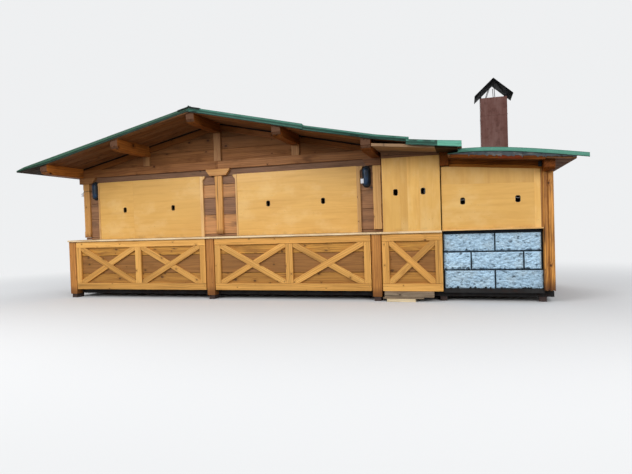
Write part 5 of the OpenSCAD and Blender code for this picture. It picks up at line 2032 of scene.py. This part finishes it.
@dataclass
class Annex:
    """The grill annex: its roof, posts, beams, header and the stone front."""

    left: float = 6.558
    right: float = 7.878
    low: float = 0.19
    high: float = 0.97
    courses: tuple[tuple[float, float, float, float, tuple[float, ...]], ...] = (
        (0.714, 0.97, 0.004, 0.018, (7.259,)),
        (0.453, 0.714, 0.0, 0.02, (6.937, 7.635)),
        (0.19, 0.453, 0.01, 0.0, (7.257,)),
    )
    joint: float = 0.019
    joint_y: float = 0.098
    face_y: float = 0.082
    back_y: float = 0.119
    swell: float = 0.0315
    rim: float = 0.02
    chipped: float = 0.06
    chip_most: float = 0.026
    header_h: float = 0.11
    header_joint: float = 0.062
    header_seam: float = 0.003
    sill_z: tuple[float, float] = (1.019, 1.0358)
    verge_x0: float = 6.795
    verge_y: float = -0.3032
    roof_middle: float = 1.29
    section: tuple[tuple[float, float], ...] = (
        (0.0, 0.003), (0.08, 0.0028), (0.16, 0.0), (0.42, 0.0006), (0.5, 0.003), (0.58, 0.0006),
        (0.9, 0.0), (1.0, -0.004),
    )
    # Each eave board's ends, its tint and its tone
    eave_boards: tuple[tuple[float, float, float, float], ...] = (
        (6.7, 7.31, 0.55, 0.15), (7.312, 7.62, 0.4, 0.8), (7.622, 7.884, 0.7, 0.1),
    )
    flaps: tuple[FeltFlap, ...] = (
        FeltFlap(0, 6.93, 7.3, 0.02), FeltFlap(1, 7.24, 7.66, 0.026), FeltFlap(2, 7.6, 8.02, 0.03),
        FeltFlap(3, 7.95, 8.25, 0.022),
    )
    flap_section: tuple[tuple[float, float], ...] = (
        (0.0, 0.0016), (0.25, 0.0012), (0.5, 0.0004), (1.0, 0.0),
    )

    def stone(self, piece: Piece, x0: float, x1: float, z0: float, z1: float) -> None:
        """Adds a block with a rough swelling face, sharp above and chipped below.

        Args:
            piece: The stone front's piece.
            x0: The block's left side.
            x1: Its right side.
            z0: Its lower side.
            z1: Its upper side.
        """
        body = box((x0, self.face_y, z0), (x1, self.back_y, z1))
        front = [f for f in body.faces if f.normal.y < -0.5]
        edges = list({e for f in front for e in f.edges})
        bmesh.ops.subdivide_edges(body, edges=edges, cuts=47, use_grid_fill=True)
        edge = body.verts.layers.float.new("edge")
        shift = piece.random.uniform(0, 50)
        for vert in body.verts:
            if vert.co.y > self.face_y + 0.001:
                continue
            x, z = vert.co.x, vert.co.z
            rim = max(0.0, min(x - x0, x1 - x, 1.6 * (z1 - z), z - z0))
            rise = min(1.0, rim / self.rim) ** 0.5
            slant = Vector((0.75 * x + 0.66 * z, 0.0, 0.75 * z - 0.66 * x))
            ridge = noise.ridged_multi_fractal(
                Vector((slant.x * 5 + shift, slant.z * 15, shift)), 0.9, 2.2, 5, 0.9, 2.0
            ) / 2.6
            rough = noise.fractal(Vector((x * 22 + shift, z * 30, shift)), 0.8, 2.1, 5)
            chunk = noise.cell(Vector((slant.x * 11 + 0.3 * rough, shift, slant.z * 26 + 0.5 * rough)))
            face = max(0.0, min(1.0, 0.25 + 0.5 * ridge + 0.42 * rough + 0.05 * chunk))
            vert.co.y -= rise * self.swell * face
            # The edge attribute holds painted shade: the depth of each hollow, and 0.9 along the block's
            # outline
            vert[edge] = 1.0 - face if rim > 0 else 0.9
            foot = 1 - (z - z0) / self.chipped
            if foot > 0:
                chip = max(0.0, noise.fractal(Vector((x * 21 + shift, shift, 0.0)), 0.8, 2.1, 4) + 0.08)
                vert.co.z += min(self.chip_most, chip * 0.034) * foot
                # Painted shadow under the chipped lower edge
                vert[edge] = max(vert[edge], min(0.92, 0.5 + 0.9 * chip) * foot)
        piece.add(body, Axis.X, 0.0)

    def stones(self) -> None:
        """Lays the stone front in three courses over its dark joints."""
        stones = Piece("stone_blocks", 91)
        half = self.joint / 2
        for z0, z1, left, right, splits in self.courses:
            edges = (self.left + left - half, *splits, self.right - right + half)
            top = z1 if z1 >= self.high else z1 - half
            foot = z0 if z0 <= self.low else z0 + half
            for x0, x1 in zip(edges, edges[1:]):
                self.stone(stones, x0 + half, x1 - half, foot, top)
        stones.finish([ROCK], "stone", ["stone_front"], 24)
        backing = Piece("stone_joints", 72)
        low = (self.left, self.joint_y, self.low + 0.004)
        backing.add(box(low, (self.right, self.back_y, self.sill_z[0] - 0.001)), Axis.X, 0.0)
        backing.finish([MORTAR], "stone")

    def along_roof(self, lift: float) -> tuple[Vector, Vector]:
        """Returns a point and the normal of a plane at a height over the boards' underside."""
        point = Vector((LINES.annex_x0, 0, LINES.annex_z0 + lift))
        return point, Vector((LINES.annex_slope, 0, 1)).normalized()

    def header(self) -> None:
        """Builds the header in two boards, the lining and the sill."""
        whole = cad_solid("annex_header")
        low, normal = self.along_roof(-self.header_h)
        mid, _ = self.along_roof(-self.header_joint)
        seam = normal * (self.header_seam / 2)
        header = Piece("annex_header_timber", 74)
        top = cut(whole.copy(), low, -normal)
        header.add(cut(top.copy(), mid + seam, -normal), Axis.X, 0.003, tint=0.5, tone=0.15)
        header.add(cut(top, mid - seam, normal), Axis.X, 0.003, tint=0.7, tone=0.6)
        header.finish([HEADER], "beam_wood", ["annex_header"])
        rest = cut(whole, low - normal * 0.001, normal)
        sill = Piece("annex_sill_and_lining", 76)
        sill.add(between(rest, Axis.Z, *self.sill_z), Axis.X, 0.003, 2, tint=0.5, tone=0.0)
        sill.add(between(rest, Axis.Z, 1.0365, 2.0), Axis.Z, 0.002, tint=0.4, tone=1.0)
        rest.free()
        sill.finish([TRIM], "trim_wood")

    def eave(self) -> None:
        """Builds the boards, the torn felt on them, the eave board and the frayed felt flaps."""
        whole = cad_solid("annex_deck")
        point, normal = self.along_roof(LINES.annex_board)
        joints = (-0.281, *Rows(-0.14, 0.14, 3.0).joints())
        planks = Planking(Axis.Y, Axis.X, joints, 0.003, 0.002, True).lay(
            Piece("annex_deck_planks", 63), islands(cut(whole.copy(), point, normal))
        )
        planks.finish([SOFFIT], "deck_wood", ["annex_deck"])
        felt = Piece("annex_roof_felt", 78)
        felt.add(cut(whole, point + normal * 0.0005, -normal), Axis.X, 0.0)
        felt.finish([FELT], "deck_wood")
        board = Piece("annex_eave_board", 79)
        for x0, x1, tint, tone in self.eave_boards:
            plank = raise_by(box((x0, -0.3, -0.024), (x1, -0.283, 0.0246)), LINES.annex)
            board.add(plank, Axis.X, 0.003, tint=tint, tone=tone)
        board.finish([FASCIA], "beam_wood")
        fringe = Piece("frayed_felt_flaps", 80)
        for flap in self.flaps:
            strip = sheet_strip(
                (flap.x0, flap.x1), -0.3012, flap.torn, lambda x: LINES.felt(x) - 0.004,
                self.flap_section, 0.001, 70, 0.0006,
            )
            fringe.add(strip, Axis.X, 0.0)
        fringe.finish([FRAYED], "deck_wood", smooth=50)

    def sheet(self) -> None:
        """Builds the annex sheet and its folded trims."""
        piece = Piece("annex_sheet_metal", 77)
        for body in bodies("annex_sheet"):
            flat = between(body, Axis.Y, -0.2998, 2.8798)
            piece.add(flat, Axis.X, 0.0015, choice=all_are(1))
            body.free()
        for back in (False, True):
            verge = sheet_strip(
                (self.verge_x0, LINES.annex_x1), mirrored_y(self.verge_y, back, self.roof_middle),
                lambda x: LINES.felt(x) - 0.006, lambda x: LINES.felt(x) + 0.05, self.section,
                sway=0.0006,
            )
            piece.add(verge, Axis.X, 0.0, tint=0.5, tone=0.12)
        piece.finish([BRIGHT_TRIM, GREEN], "trim_green", ["annex_sheet"], 30)

    def posts(self) -> None:
        """Builds the posts, the front one with its split, ragged foot, and the beams."""
        posts = Piece("annex_posts_timber", 73)
        for body in bodies("annex_posts"):
            front = corners(body)[0].y < 0.05
            if front:
                ragged_foot(body, 0.02, 4.2)
            posts.add(body, Axis.Z, 0.0 if front else 0.003, tint=0.55, tone=0.2)
        posts.finish([ANNEX_POST], "wall_post_wood", ["annex_posts"])
        beams = Piece("annex_purlins_timber", 75).take("annex_purlins", Axis.Y, looks=((0.1, 0.0),))
        beams.finish([HEADER], "beam_wood", ["annex_purlins"])
        fitting = Piece("header_end_fitting", 85)
        fitting.add(box((7.838, -0.008, 1.862), (7.88, 0.03, 1.93)), Axis.Z, 0.005, 2)
        fitting.finish([LAMP], "lamp", smooth=40)

    def build(self) -> None:
        """Builds and dresses the pieces."""
        self.stones()
        self.header()
        self.eave()
        self.sheet()
        self.posts()


@dataclass
class Flue:
    """The square flue and its folded cap on legs and thin stays."""

    x: float = 7.355
    y: float = 1.505
    top: float = 3.1503
    cap_rise: float = 0.27
    stay_y: float = 0.193
    stay_x: tuple[float, float] = (-0.13, 0.02)
    stay_radius: float = 0.005

    def build(self) -> None:
        """Builds and dresses the pieces."""
        flue = Piece("flue_metal", 81).take("flue", Axis.Z, 0.002)
        flue.finish([FLUE], "flue_brown", ["flue"])
        cap = Piece("flue_cap_metal", 82).take("flue_cap", Axis.Z, 0.0015, 1)
        foot, head = self.top - 0.01, self.top + 0.86 * self.cap_rise
        for y in (self.y - self.stay_y, self.y + self.stay_y):
            for x in self.stay_x:
                ends = (self.x + x, y, foot), (self.x + 0.35 * x, y, head)
                cap.add(rod(*ends, self.stay_radius, 8), Axis.Z, 0.0)
        cap.finish([SOOT], "cap_black", ["flue_cap"])


def main() -> None:
    """Builds the hut's pieces in order."""
    logging.basicConfig(level=logging.INFO, format="%(message)s")
    Studio().build()
    for part in (Base(), CounterFront(), TimberFrame(), BoardWalls(), Shutters(), Roof(), Annex(), Flue()):
        LOG.info("building %s", type(part).__name__)
        part.build()
    bpy.context.scene.view_settings.view_transform = "Standard"


if __name__ == "__main__":
    main()
